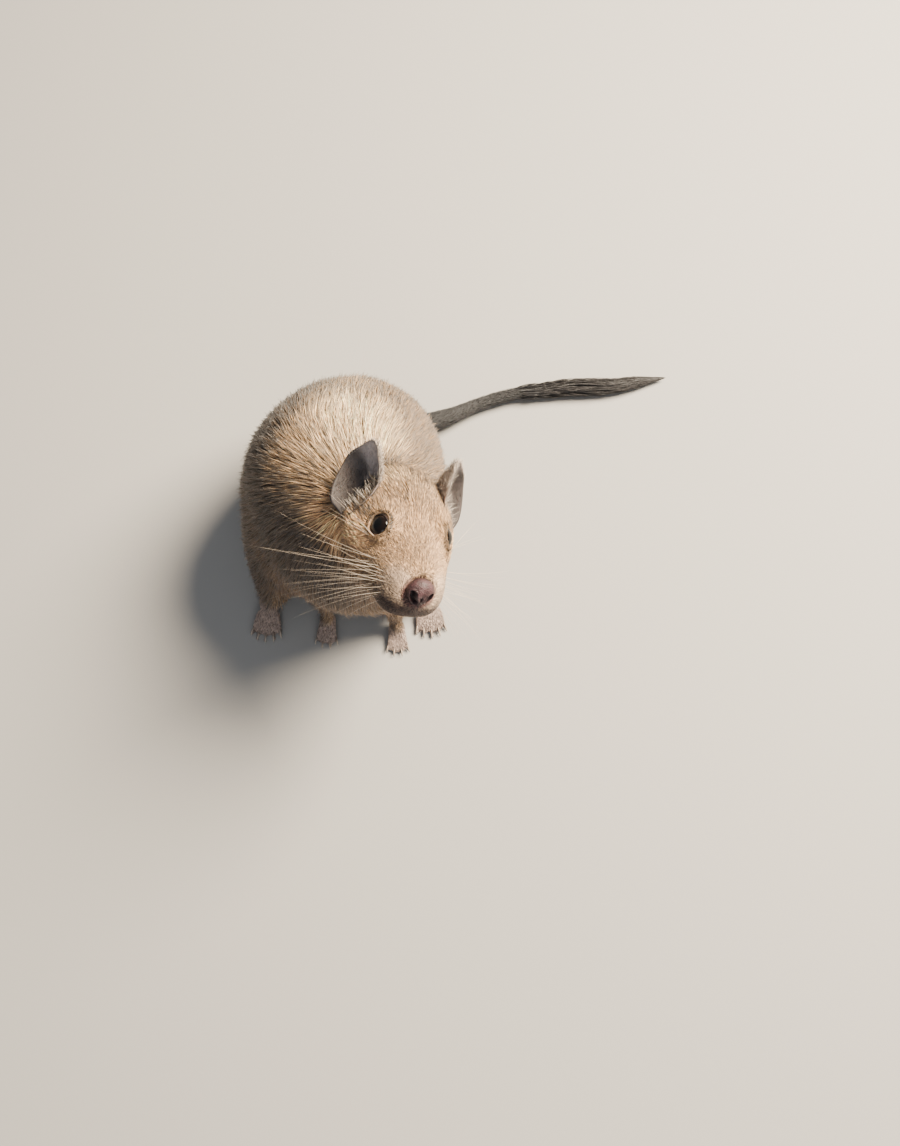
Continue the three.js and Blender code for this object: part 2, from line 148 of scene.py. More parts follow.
def new_piece(name, points, faces, material, smooth=True):
    mesh = bpy.data.meshes.new(name)
    mesh.from_pydata([tuple(p) for p in points], [], [tuple(f) for f in faces])
    mesh.polygons.foreach_set("use_smooth", [smooth] * len(mesh.polygons))
    mesh.materials.append(material)
    mesh.update()
    piece = bpy.data.objects.new(name, mesh)
    bpy.context.scene.collection.objects.link(piece)
    return piece


floor_material, floor_tree, floor_shader = new_material("studio_floor", FLOOR_COLOR, 0.85)
bump_node(floor_tree, floor_shader, noise_node(floor_tree, 260.0), 0.0002, 0.15)
reach = FLOOR_SIZE / 2
floor = new_piece(
    "floor",
    [(-reach, -reach, 0), (reach, -reach, 0), (reach, reach, 0), (-reach, reach, 0)],
    [(0, 1, 2, 3)],
    floor_material,
)
world = bpy.data.worlds.new("studio")
world.use_nodes = True
world.node_tree.nodes["Background"].inputs["Color"].default_value = SKY_COLOR
world.node_tree.nodes["Background"].inputs["Strength"].default_value = SKY_STRENGTH
bpy.context.scene.world = world
for name, facts in LIGHTS.items():
    light = bpy.data.lights.new(name, "AREA")
    light.shape = "DISK"
    light.size = facts["size"]
    light.energy = facts["power"]
    light.color = facts["color"]
    lamp = bpy.data.objects.new(name, light)
    lamp.location = facts["at"]
    lamp.rotation_euler = (Vector((0, 0, 0.05)) - lamp.location).to_track_quat("-Z", "Y").to_euler()
    bpy.context.scene.collection.objects.link(lamp)

# Head directions
# The two eyes give the head's left, and the nose pad its front, so the face is built along the same lines
# as the solids: f points out of the nose, l out of the left ear side and u out of the crown.
FACE_SLOPE = math.radians(17.82)
EYES_AHEAD = 2.44
EYES_ABOVE = 2.46
eye_right = middle("eye_right")
eye_left = middle("eye_left")
eyes = (("right", -1, eye_right), ("left", 1, eye_left))


def unit(vectors):
    return vectors / np.maximum(np.linalg.norm(vectors, axis=-1, keepdims=True), 1e-12)


head_l = unit(eye_left - eye_right)
toward_nose = middle("nose") - (eye_left + eye_right) / 2
toward_nose = unit(toward_nose - head_l * toward_nose.dot(head_l))
head_f = toward_nose * math.cos(FACE_SLOPE) - np.cross(head_l, toward_nose) * math.sin(FACE_SLOPE)
head_u = np.cross(head_f, head_l)
head_axes = np.array([head_f, head_l, head_u])
head_origin = (eye_right + eye_left) / 2 - (head_f * EYES_AHEAD + head_u * EYES_ABOVE) / 1000.0


def on_head(spots):
    return head_origin + (np.atleast_2d(spots) / 1000.0) @ head_axes


def in_head(points):
    return ((np.atleast_2d(points) - head_origin) @ head_axes.T) * 1000.0


# Skin
# One soft hide runs over the head, body, legs, feet and tail without a seam. It is made from the solids of
# the flesh, joined, evened out and drawn in by the depth that the coat has at each place.
FLESH = ["head", "neck", "torso", "thigh_right", "thigh_left", "foreleg_right", "foreleg_left"]
FEET = ["hind_foot_right", "hind_foot_left", "forepaw_right", "forepaw_left"]
TAIL = ["tail_base", "tail_middle"]
NODES = FLESH + FEET + TAIL
SWELL = 0.35
SKIN_STEP = 0.0008
SKIN_FLOOR = 0.0002
DEPTHS = {"body": 4.2, "thigh": 3.4, "leg": 1.6, "foot": 0.35, "tail": 1.0}
FACE_DEPTHS = ((-30, 2.8), (-14, 1.9), (0, 1.0), (12, 0.65), (20, 0.45), (30, 0.3))
FOOT_EASE, FACE_EASE, EYE_EASE = 0.12, 0.2, 0.05
EASING_ROUNDS = 60
TAIL_SPOTS = (
    (-38, 177, 12), (-24, 183, 8), (-10, 188.5, 5.4), (3, 195, 4.2),
    (20, 200, 3.9), (40, 202.3, 3.8), (61, 203, 3.4), (79, 206.5, 2.4),
)
TAIL_CORE = ((0.5, 3.9), (0.7, 3.2), (1.0, 2.0))
tail_line = np.array([place(*spot) for spot in TAIL_SPOTS])


def node_mesh(name):
    part = bmesh.new()
    part.from_mesh(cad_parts[name].data)
    bmesh.ops.remove_doubles(part, verts=part.verts, dist=1e-6)
    bmesh.ops.recalc_face_normals(part, faces=part.faces)
    part.normal_update()
    points = np.array([v.co for v in part.verts])
    normals = np.array([v.normal for v in part.verts])
    faces = [[v.index for v in f.verts] for f in part.faces]
    part.free()
    return points, normals, faces


def turn_angles(sides):
    return np.arange(sides) * 2 * math.pi / sides


def ring_ways(sides, wide, tall):
    angles = turn_angles(sides)
    return np.outer(np.cos(angles), wide) + np.outer(np.sin(angles), tall)


def ring_faces(rings, sides, closed=False):
    faces = []
    for r in range(rings if closed else rings - 1):
        a, b = r * sides, (r + 1) % rings * sides
        faces += [(a + j, a + (j + 1) % sides, b + (j + 1) % sides, b + j) for j in range(sides)]
    if not closed:
        faces.append(tuple(range(sides))[::-1])
        faces.append(tuple((rings - 1) * sides + j for j in range(sides)))
    return faces


def tail_core(line, radii, sides=16):
    rings = []
    for i, center in enumerate(line):
        along = unit(line[min(i + 1, len(line) - 1)] - line[max(i - 1, 0)])
        side = unit(np.cross(along, (0, 0, 1.0)))
        rings.append(center + radii[i] * ring_ways(sides, side, np.cross(side, along)))
    return np.vstack(rings), ring_faces(len(line), sides)


def along_tail(shares):
    steps = np.concatenate([[0], np.cumsum(np.linalg.norm(np.diff(tail_line, axis=0), axis=1))])
    return np.array([np.interp(np.asarray(shares) * steps[-1], steps, tail_line[:, k]) for k in range(3)]).T


all_points, all_faces, face_nodes = [], [], []


def add_flesh(points, faces, number):
    count = sum(len(group) for group in all_points)
    all_points.append(points)
    all_faces.extend([i + count for i in face] for face in faces)
    face_nodes.extend([number] * len(faces))


for number, name in enumerate(NODES):
    points, normals, faces = node_mesh(name)
    add_flesh(points + normals * SWELL / 1000.0, faces, number)
core_shares = np.linspace(0.5, 0.99, 30)
core_radii = np.interp(core_shares, *np.array(TAIL_CORE).T) / 1000
add_flesh(*tail_core(along_tail(core_shares), core_radii), NODES.index("tail_base"))
flesh_tree = BVHTree.FromPolygons(np.vstack(all_points).tolist(), all_faces)
flesh = new_piece("flesh", np.vstack(all_points), all_faces, floor_material)
remesh = flesh.modifiers.new("even", "REMESH")
remesh.mode = "VOXEL"
remesh.voxel_size = SKIN_STEP
even = bpy.data.meshes.new_from_object(flesh.evaluated_get(bpy.context.evaluated_depsgraph_get()))
bpy.data.objects.remove(flesh)

skin_points = np.empty(len(even.vertices) * 3)
even.vertices.foreach_get("co", skin_points)
skin_points = skin_points.reshape(-1, 3)
quads = np.array([p.vertices[:] for p in even.polygons])
edges = np.empty(len(even.edges) * 2, int)
even.edges.foreach_get("vertices", edges)
edges = edges.reshape(-1, 2)
neighbours = np.bincount(edges.ravel(), minlength=len(skin_points)).astype(float)


def averaged(values):
    total = np.zeros_like(values)
    for k in range(values.shape[1]):
        total[:, k] = np.bincount(edges[:, 0], values[edges[:, 1], k], len(values))
        total[:, k] += np.bincount(edges[:, 1], values[edges[:, 0], k], len(values))
    return total / neighbours[:, None]


def smoothed(values, rounds, weight=0.5):
    for _ in range(rounds):
        values = values + (averaged(values) - values) * weight
    return values


def surface_normals(points):
    corners = points[quads]
    flat = np.cross(corners[:, 2] - corners[:, 0], corners[:, 3] - corners[:, 1])
    normals = np.zeros_like(points)
    for k in range(3):
        for c in range(4):
            normals[:, k] += np.bincount(quads[:, c], flat[:, k], len(points))
    return unit(normals)


zone = np.array([face_nodes[flesh_tree.find_nearest(Vector(p))[2]] for p in skin_points.tolist()])


def grown_from(*names):
    return np.isin(zone, [NODES.index(name) for name in names])


is_head = grown_from("head")
is_foot = grown_from(*FEET)
is_tail = grown_from(*TAIL)
is_leg = grown_from("foreleg_right", "foreleg_left")
is_thigh = grown_from("thigh_right", "thigh_left")


def by_place(table, face_table, rounds):
    values = np.full(len(skin_points), table["body"])
    for name, there in (("thigh", is_thigh), ("leg", is_leg), ("foot", is_foot), ("tail", is_tail)):
        values[there] = table[name]
    values[is_head] = np.interp(in_head(skin_points[is_head])[:, 0], *np.array(face_table).T)
    return smoothed(values[:, None], rounds)[:, 0]


head_spots = in_head(skin_points)
depth = by_place(DEPTHS, FACE_DEPTHS, 30)
ease = np.where(is_foot, FOOT_EASE, np.where(is_head, FACE_EASE, 1.0))
for _, _, eye in eyes:
    ease = np.minimum(ease, EYE_EASE + np.linalg.norm(skin_points - eye, axis=1) / 0.05)
seam = np.zeros(len(skin_points))
seam[edges[zone[edges[:, 0]] != zone[edges[:, 1]]].ravel()] = 1.0
ease = np.maximum(smoothed(ease[:, None], 6), np.minimum(smoothed(seam[:, None], 8) * 6.0, 0.9))
skin_points = smoothed(skin_points, EASING_ROUNDS, 0.5 * ease)
skin_normals = surface_normals(skin_points)
skin_points = skin_points - skin_normals * (depth[:, None] + SWELL) / 1000.0
skin_points = smoothed(skin_points, 1, 0.5 * ease)
skin_points[:, 2] = np.maximum(skin_points[:, 2], SKIN_FLOOR)
skin_normals = unit(smoothed(surface_normals(skin_points), 3))
skin_tree = BVHTree.FromPolygons(skin_points.tolist(), quads.tolist())

# Mouth
# The mouth is a closed line under the dark upper lip. It starts in the middle of the front and runs back and
# slightly up to a corner on each side. The skin dips along it, and no hair grows in it.
MOUTH_HEIGHT = -17.3
MOUTH_RISE = 0.16
MOUTH_WIDTH = 0.55
MOUTH_DEPTH = 0.9


def bell(offsets, width):
    return np.exp(-((offsets / width) ** 2))


def on_mouth(spots):
    line = MOUTH_HEIGHT + MOUTH_RISE * (20 - spots[:, 0])
    share = np.clip((spots[:, 0] - 7.5) / 3, 0, 1) * np.clip((24 - spots[:, 0]) / 2, 0, 1)
    return bell(spots[:, 2] - line, MOUTH_WIDTH) * share


mouth_share = np.where(is_head, on_mouth(in_head(skin_points)), 0.0)
skin_points = skin_points - skin_normals * mouth_share[:, None] * MOUTH_DEPTH / 1000

# Places of the ears
# Each ear is an upright cup on a back corner of the head, turned to the side and front. The coat leaves the
# inside of the cups bare, so their places come before it.
EAR_BASE = (-12.5, 18.5, 0.5)
EAR_HEIGHT, EAR_WIDTH, EAR_CUP, EAR_SUNK = 26.0, 16.8, 5.4, 3.0
EAR_MIDDLE, EAR_RISE = 0.46, 0.54
EAR_TURNS = {
    "right": {"side": -1, "tip": (-0.12, 0.1, 0.98), "opening": (0.5, -0.87, 0.0), "lobe": 1.0},
    "left": {"side": 1, "tip": (-0.12, -0.2, 0.98), "opening": (0.62, 0.78, 0.0), "lobe": 0.4},
}


def ramp(values, start, end):
    share = np.clip((values - start) / (end - start), 0, 1)
    return share * share * (3 - 2 * share)


def ear_axes(facts):
    tip_way = unit(np.array(facts["tip"]))
    open_way = np.array(facts["opening"])
    open_way = unit(open_way - tip_way * open_way.dot(tip_way))
    root = np.array([EAR_BASE[0], facts["side"] * EAR_BASE[1], EAR_BASE[2]])
    return root, tip_way, open_way, np.cross(tip_way, open_way)


def ear_narrowing(level):
    return 0.6 + 0.4 * np.sin(math.pi * 0.85 * level)


def inside_ear(points):
    within = np.zeros(len(points))
    for facts in EAR_TURNS.values():
        root, tip_way, open_way, across = ear_axes(facts)
        arms = in_head(points) - root
        level = (arms @ tip_way + EAR_SUNK) / EAR_HEIGHT
        span = arms @ across / (EAR_WIDTH / 2 * ear_narrowing(np.clip(level, 0, 1)))
        reach = np.hypot((level - EAR_MIDDLE) / EAR_RISE, span)
        front = arms @ open_way + EAR_CUP * (1 - reach**2) * 1.15
        within = np.maximum(within, ramp(reach, 0.95, 0.8) * ramp(front, -0.5, 0.3) * ramp(front, 9, 7))
    return within


# Markings
# The coat is agouti: sand over the back and crown, warm brown under the chest and belly, pale round the eye,
# dark grey-brown on the upper lip, charcoal on the tail. Painted light and shade are added to it: sunlit
# cream on the top of the back, painted shade that darkens the flanks, most on the side away from the light,
# a dark stroke of painted shade behind the eye, and a painted lit edge on the pale stroke under the ear.
# Skin and hairs take their colour from the same rule, and the skin under the coat is then painted darker, as
# shade between the hairs.
SAND = (0.37, 0.24, 0.13)
# Painted light: a sunlit cream for the top of the back, on the side facing the key light.
SUNLIT_CREAM = (0.79, 0.58, 0.35)
# A dark grey-brown used for painted shade on the flanks and behind the eye, and for the darker sides of the
# head and the whisker bed.
FLANK = (0.088, 0.06, 0.038)
CHEST = (0.26, 0.155, 0.085)
BELLY = (0.42, 0.3, 0.19)
FACE = (0.39, 0.242, 0.126)
# Partly the coat's pale eye patch and partly painted light: its brightness stands for the lit edge under the
# ear.
EYE_PATCH_AND_LIT_EDGE = (0.8, 0.48, 0.25)
LIP = (0.10, 0.062, 0.048)
PAW = (0.36, 0.27, 0.225)
CHARCOAL = (0.019, 0.0185, 0.0195)
MUZZLE = (0.52, 0.39, 0.29)
# Painted shade for the deep bowl of the ears.
EAR_BOWL_SHADE = (0.038, 0.028, 0.025)
PALE_AND_LIT_STROKE = ((2.0, 15.0, -2.5), (-19.0, 19.0, -6.5))
# Painted shade: a dark stroke from the outer corner of each eye back towards the ear.
SHADE_STROKE = ((-2.0, 14.0, 3.0), (-9.0, 16.5, 2.5))
PAD_SIZES = (3.4, 4.5, 4.6)
PAD_DROP = 0.6
PAD_RIM = (0.17, 0.09, 0.075)
wave_maker = np.random.default_rng(4)
wave_bank = [(wave_maker.normal(size=(3, 10)), wave_maker.uniform(0, 2 * math.pi, 10)) for _ in range(6)]


def drift(points, size, bank):
    waves, phases = wave_bank[bank]
    return np.sin(points * 1000.0 / size @ waves + phases).mean(axis=1) * 1.6


def toward(colors, target, share):
    return colors + (np.array(target) - colors) * np.asarray(share)[:, None]


def off_stroke(spots, side, stroke):
    start, end = np.array(stroke) * (1, side, 1)
    share = np.clip((spots - start) @ (end - start) / (end - start).dot(end - start), 0, 1)
    return np.linalg.norm(spots - start - share[:, None] * (end - start), axis=1)


def pad_reach(points):
    arms = in_head(points) - in_head(middle("nose")) + (0, 0, PAD_DROP)
    return np.linalg.norm(arms / PAD_SIZES, axis=1)


def body_markings(points, normals, face):
    heights = points[:, 2] * 1000.0
    sideways, upward = normals[:, 0], normals[:, 2]
    body = 1 - face
    colors = np.tile(np.array(SAND), (len(points), 1))
    # Painted shade: the flanks are darkened where they turn from the top, most on the side away from the key
    # light.
    shaded = np.interp(sideways, (-0.45, -0.1, 0.3), (1.0, 0.8, 0.42))
    colors = toward(colors, FLANK, body * ramp(upward, 0.99, 0.77) * shaded)
    # Painted light: the top of the back, on the side facing the key light, is painted sunlit cream.
    pale = body * ramp(upward, 0.6, 0.9) * ramp(sideways, -0.4, 0.15) * 0.92
    colors = toward(colors, SUNLIT_CREAM, pale)
    colors = toward(colors, CHEST, body * ramp(upward, 0.5, -0.35) * 0.85)
    return toward(colors, BELLY, body * ramp(upward, -0.55, -0.95) * ramp(heights, 40, 15) * 0.8)


def face_markings(colors, spots, head):
    ahead, aside, above = spots[:, 0], np.abs(spots[:, 1]), spots[:, 2]
    colors = toward(colors, CHEST, head * ramp(above, -9, -17) * 0.75)
    colors = toward(colors, FLANK, head * ramp(aside, 9, 19) * 0.12)
    for side in (-1, 1):
        # Partly the coat's pale patch and partly painted light: a pale stroke from under the eye back below
        # the ear.
        colors = toward(colors, EYE_PATCH_AND_LIT_EDGE, ramp(off_stroke(spots, side, PALE_AND_LIT_STROKE), 6.2, 2.8) * 0.92)
        # Painted shade: a dark stroke behind the eye.
        colors = toward(colors, FLANK, ramp(off_stroke(spots, side, SHADE_STROKE), 3.0, 1.2) * 0.7)
    colors = toward(colors, MUZZLE, head * ramp(ahead, 15, 21) * ramp(above, 1, -4) * 0.75)
    whisker_bed = ramp(aside, 3.5, 7.5) * ramp(ahead, 7, 12) * ramp(above, -2.5, -6)
    colors = toward(colors, FLANK, head * whisker_bed * 0.55)
    lip = ramp(ahead, 11, 17) * ramp(above, -9.5, -11.4) * ramp(aside, 10.5, 8.0)
    lip = np.maximum(lip * ramp(above, -18.5, -17.0), on_mouth(spots))
    parting = ramp(aside, 1.1, 0.3) * ramp(ahead, 14, 18) * ramp(above, -7.4, -8.4)
    return toward(colors, LIP, head * np.maximum(lip * 0.92, parting))


def markings(points, normals, zones):
    spots = in_head(points)
    face = zones["head"] * ramp(spots[:, 0], -16, 2)
    colors = toward(body_markings(points, normals, face), FACE, face)
    colors = face_markings(colors, spots, zones["head"])
    colors = toward(colors, PAD_RIM, ramp(pad_reach(points), 1.3, 1.1))
    # Painted shade: the skin inside the ear cups is darkened.
    colors = toward(colors, EAR_BOWL_SHADE, inside_ear(points))
    colors = toward(colors, PAW, zones["foot"])
    colors = toward(colors, CHARCOAL, zones["tail"])
    shade = 1 + 0.10 * drift(points, 9.0, 0) + 0.07 * drift(points, 3.0, 1)
    return colors * shade[:, None]


def soft_zone(mask, rounds):
    return smoothed(mask.astype(float)[:, None], rounds)[:, 0]


def paint(mesh, colors):
    shown = np.ones((len(colors), 4))
    shown[:, :3] = np.clip(colors, 0, 1)
    mesh.color_attributes.new("marking", "FLOAT_COLOR", "POINT").data.foreach_set("color", shown.ravel())


skin_zones = {"head": soft_zone(is_head, 60), "foot": soft_zone(is_foot, 8), "tail": soft_zone(is_tail, 12)}
skin_colors = markings(skin_points, skin_normals, skin_zones)
# Painted shade: the skin under the coat is darkened, as it lies in the shade of the hairs; on the feet only
# a little.
bare_shade = np.interp(skin_zones["foot"], (0, 1), (0.4, 0.95))


def marked_material(name, roughness, sheen=0.0, blotch=0.12, grain=900.0):
    material, tree, shader = new_material(name, (0.4, 0.3, 0.2, 1), roughness)
    color = tree.nodes.new("ShaderNodeAttribute")
    color.attribute_name = "marking"
    vary = tree.nodes.new("ShaderNodeMix")
    vary.data_type = "RGBA"
    vary.blend_type = "MULTIPLY"
    vary.inputs["Factor"].default_value = 1.0
    link(tree, color.outputs["Color"], vary.inputs["A"])
    spread = mapped(tree, noise_node(tree, grain), 1 - blotch, 1 + blotch)
    gray = tree.nodes.new("ShaderNodeCombineColor")
    for channel in ("Red", "Green", "Blue"):
        link(tree, spread, gray.inputs[channel])
    link(tree, gray.outputs["Color"], vary.inputs["B"])
    link(tree, vary.outputs["Result"], shader.inputs["Base Color"])
    shader.inputs["Sheen Weight"].default_value = sheen
    shader.inputs["Sheen Roughness"].default_value = 0.4
    return material, tree, shader


hide_material, hide_tree, hide_shader = marked_material("hide", 0.7, 0.15, 0.3, 700.0)
bump_node(hide_tree, hide_shader, noise_node(hide_tree, 1100.0, 4.0), 0.0003, 0.6)
skin = new_piece("skin", skin_points, quads, hide_material)
paint(skin.data, skin_colors * bare_shade[:, None])
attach(skin, "root")
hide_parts(*(FLESH + FEET + TAIL + ["tail_tip"]))

# Lie of the coat
# Hair grows back from the nose over the face, spreads from the nape over back and flanks, runs down the
# chest and legs, forward over the feet and along the tail. The directions are evened out over the skin.
NAPE = place(-36, 118, 84)
LIE_ROUNDS = 45


def laid_flat(ways, normals):
    return unit(ways - normals * (ways * normals).sum(axis=1)[:, None])


face_side = np.sign(head_spots[:, 1])
head_lie = -head_f - head_u * 0.12 + np.outer(face_side, head_l) * 0.12
split = ramp(head_spots[:, 0], 12, 18) * ramp(head_spots[:, 2], -6.5, -9)
split = split * ramp(np.abs(head_spots[:, 1]), 8, 3)
head_lie += np.outer(split * face_side * 1.6, head_l) - np.outer(split * 0.6, head_u)
body_lie = unit(skin_points - NAPE) + np.array([0.0, 0.25, -0.35])
front = ramp(skin_normals[:, 1], -0.2, -0.7)[:, None]
body_lie = body_lie * (1 - front) + np.array([0.0, 0.15, -1.0]) * front
lie = np.where(is_head[:, None], head_lie, body_lie)
lie[is_leg] = (0.0, -0.1, -1.0)
lie[is_foot] = (0.0, -1.0, -0.25)
tail_samples = along_tail(np.linspace(0, 1, 60))
nearest = np.argmin(((skin_points[is_tail][:, None] - tail_samples[None]) ** 2).sum(axis=2), axis=1)
lie[is_tail] = unit(np.gradient(tail_samples, axis=0)[nearest])
for _ in range(LIE_ROUNDS):
    lie = smoothed(laid_flat(lie, skin_normals), 1)
lie = laid_flat(lie, skin_normals)
face_normals = skin_normals[quads].mean(axis=1)
face_centers = skin_points[quads].mean(axis=1)
corners = skin_points[quads]
diagonals = np.cross(corners[:, 2] - corners[:, 0], corners[:, 3] - corners[:, 1])
face_areas = np.linalg.norm(diagonals, axis=1) / 2
face_depth = depth[quads].mean(axis=1)

# Coat
# Each hair stands for a lock of the real coat: a thin three-sided blade, rooted below the skin, that follows
# the lie and leans on its neighbours. Face and feet have the shortest and finest, back and flanks the
# longest, and none grows on the eyes, in the ears or on the nose pad.
LENGTHS = {"body": 13.0, "thigh": 10.5, "leg": 4.2, "foot": 1.7, "tail": 3.4}
WIDTHS = {"body": 0.32, "thigh": 0.32, "leg": 0.26, "foot": 0.18, "tail": 0.26}
FACE_LENGTHS = ((-30, 10.5), (-16, 8.0), (-6, 5.4), (4, 4.0), (12, 2.9), (20, 2.1), (26, 1.6))
FACE_WIDTHS = ((-30, 0.34), (-14, 0.3), (0, 0.25), (12, 0.22), (20, 0.2), (26, 0.18))
LAYERS = {"body": 5.4, "face": 4.6, "foot": 1.5, "tail": 3.6}
GUARD_SHARE = 0.14
BLADE_FLATNESS = 0.45
BLADE_SWELL = (0.7, 1.0, 0.75)
BLADE_STEPS = (0.0, 0.48, 1.0)
HAIR_SUNK = 0.3
HAIR_FLOOR = 0.0003
PATCH = 0.003
GAZE = (0.3, 0.82, 0.48)
EYE_CLEAR = 3.75
EYE_TURN = 9.5
ROOT_TONE, MIDDLE_TONE = 0.3, 1.05
TIP_TONES = ((0.3, 0.34), (1.05, 0.31), (1.5, 0.35))
UP, SIDEWAYS = (0, 0, 1), (1, 0, 0)
hair_length = by_place(LENGTHS, FACE_LENGTHS, 20)[quads].mean(axis=1)
hair_width = by_place(WIDTHS, FACE_WIDTHS, 20)[quads].mean(axis=1)
layers = np.full(len(quads), LAYERS["body"])
for name, there in (("face", is_head), ("foot", is_foot), ("tail", is_tail)):
    layers[there[quads[:, 0]]] = LAYERS[name]
hair_density = layers / (hair_length * hair_width * 0.6)
vertex_zones = np.stack([skin_zones["head"], skin_zones["foot"], skin_zones["tail"]], axis=1)


def triangle_mesh(name, points, triangles, colors, uvs, material):
    mesh = bpy.data.meshes.new(name)
    mesh.vertices.add(len(points))
    mesh.vertices.foreach_set("co", points.astype(np.float32).ravel())
    mesh.loops.add(triangles.size)
    mesh.loops.foreach_set("vertex_index", triangles.astype(np.int32).ravel())
    mesh.polygons.add(len(triangles))
    mesh.polygons.foreach_set("loop_start", np.arange(0, triangles.size, 3, dtype=np.int32))
    mesh.update(calc_edges=True)
    mesh.polygons.foreach_set("use_smooth", np.ones(len(triangles), dtype=bool))
    paint(mesh, colors)
    corner_uvs = uvs[triangles.ravel()].astype(np.float32)
    mesh.uv_layers.new(name="OFBake").data.foreach_set("uv", corner_uvs.ravel())
    mesh.materials.append(material)
    mesh.update()
    piece = bpy.data.objects.new(name, mesh)
    bpy.context.scene.collection.objects.link(piece)
    return piece


def unwrapped(points, around):
    arms = points - points.mean(axis=0)
    pole = unit(np.array(around, float))
    first = unit(np.cross(pole, (0.31, 0.52, 0.79)))
    second = np.cross(pole, first)
    angle = np.arctan2(arms @ second, arms @ first) / (2 * math.pi) + 0.5
    level = arms @ pole
    level = (level - level.min()) / max(np.ptp(level), 1e-6)
    return 0.01 + 0.98 * np.stack([angle, level], axis=1)


def blades(
    name, paths, overs, widths, colors, material, around, flatness=BLADE_FLATNESS, swell=BLADE_SWELL
):
    number, steps = paths.shape[:2]
    rings = steps - 1
    shares = np.linspace(0, 1, steps)[:-1]
    profile = np.interp(shares, (0, 0.35, 0.8), swell)
    sides = unit(np.cross(overs, np.diff(paths, axis=1)))
    half = (widths[:, None] * profile[None, :] / 2)[:, :, None]
    base = paths[:, :-1]
    ridge = base + overs * half * 2 * flatness
    ring_points = np.stack([base + sides * half, ridge, base - sides * half], axis=2)
    points = np.concatenate([ring_points.reshape(number, rings * 3, 3), paths[:, -1:]], axis=1)
    one = [(0, 2, 1)]
    for r in range(rings - 1):
        for j in range(3):
            a, b = r * 3 + j, r * 3 + (j + 1) % 3
            one += [(a, b, b + 3), (a, b + 3, a + 3)]
    last = (rings - 1) * 3
    one += [(last + j, last + (j + 1) % 3, rings * 3) for j in range(3)]
    first_points = np.arange(number) * (rings * 3 + 1)
    triangles = (np.array(one)[None] + first_points[:, None, None]).reshape(-1, 3)
    spread = np.concatenate([np.repeat(colors[:, :-1], 3, axis=1), colors[:, -1:]], axis=1)
    patch = [((j - 1) * 0.5, shares[r]) for r in range(rings) for j in range(3)] + [(0.0, 1.0)]
    uvs = unwrapped(paths[:, 0], around)[:, None, :] * (1 - PATCH) + np.array(patch)[None] * PATCH
    points, spread, uvs = points.reshape(-1, 3), spread.reshape(-1, 3), uvs.reshape(-1, 2)
    return triangle_mesh(name, points, triangles, spread, uvs, material)


def fur_material(name, roughness, sheen):
    material, _, shader = marked_material(name, roughness, sheen, 0.1, 2600.0)
    shader.inputs["Specular IOR Level"].default_value = 0.35
    return material


def settle(points):
    spots = np.empty_like(points)
    near = np.empty(len(points), int)
    for i, point in enumerate(points.tolist()):
        spots[i], _, near[i], _ = skin_tree.find_nearest(point)
    return spots, near


def gaze_of(side):
    return unit(head_f * GAZE[0] + head_l * side * GAZE[1] + head_u * GAZE[2])


def round_eyes(roots, ways):
    clear = np.ones(len(roots), bool)
    for _, side, eye in eyes:
        arm = roots - eye
        facing = arm @ gaze_of(side)
        out = arm - facing[:, None] * gaze_of(side)
        reach = np.linalg.norm(out, axis=1) * 1000
        near_eye = (reach < EYE_TURN) & (facing > -0.004)
        clear &= ~(near_eye & (reach < EYE_CLEAR))
        turn = np.where(near_eye, ramp(reach, EYE_TURN, 5.0) * 1.3, 0)
        ways = ways + turn[:, None] * out / (reach[:, None] / 1000 + 1e-6)
    return clear, ways


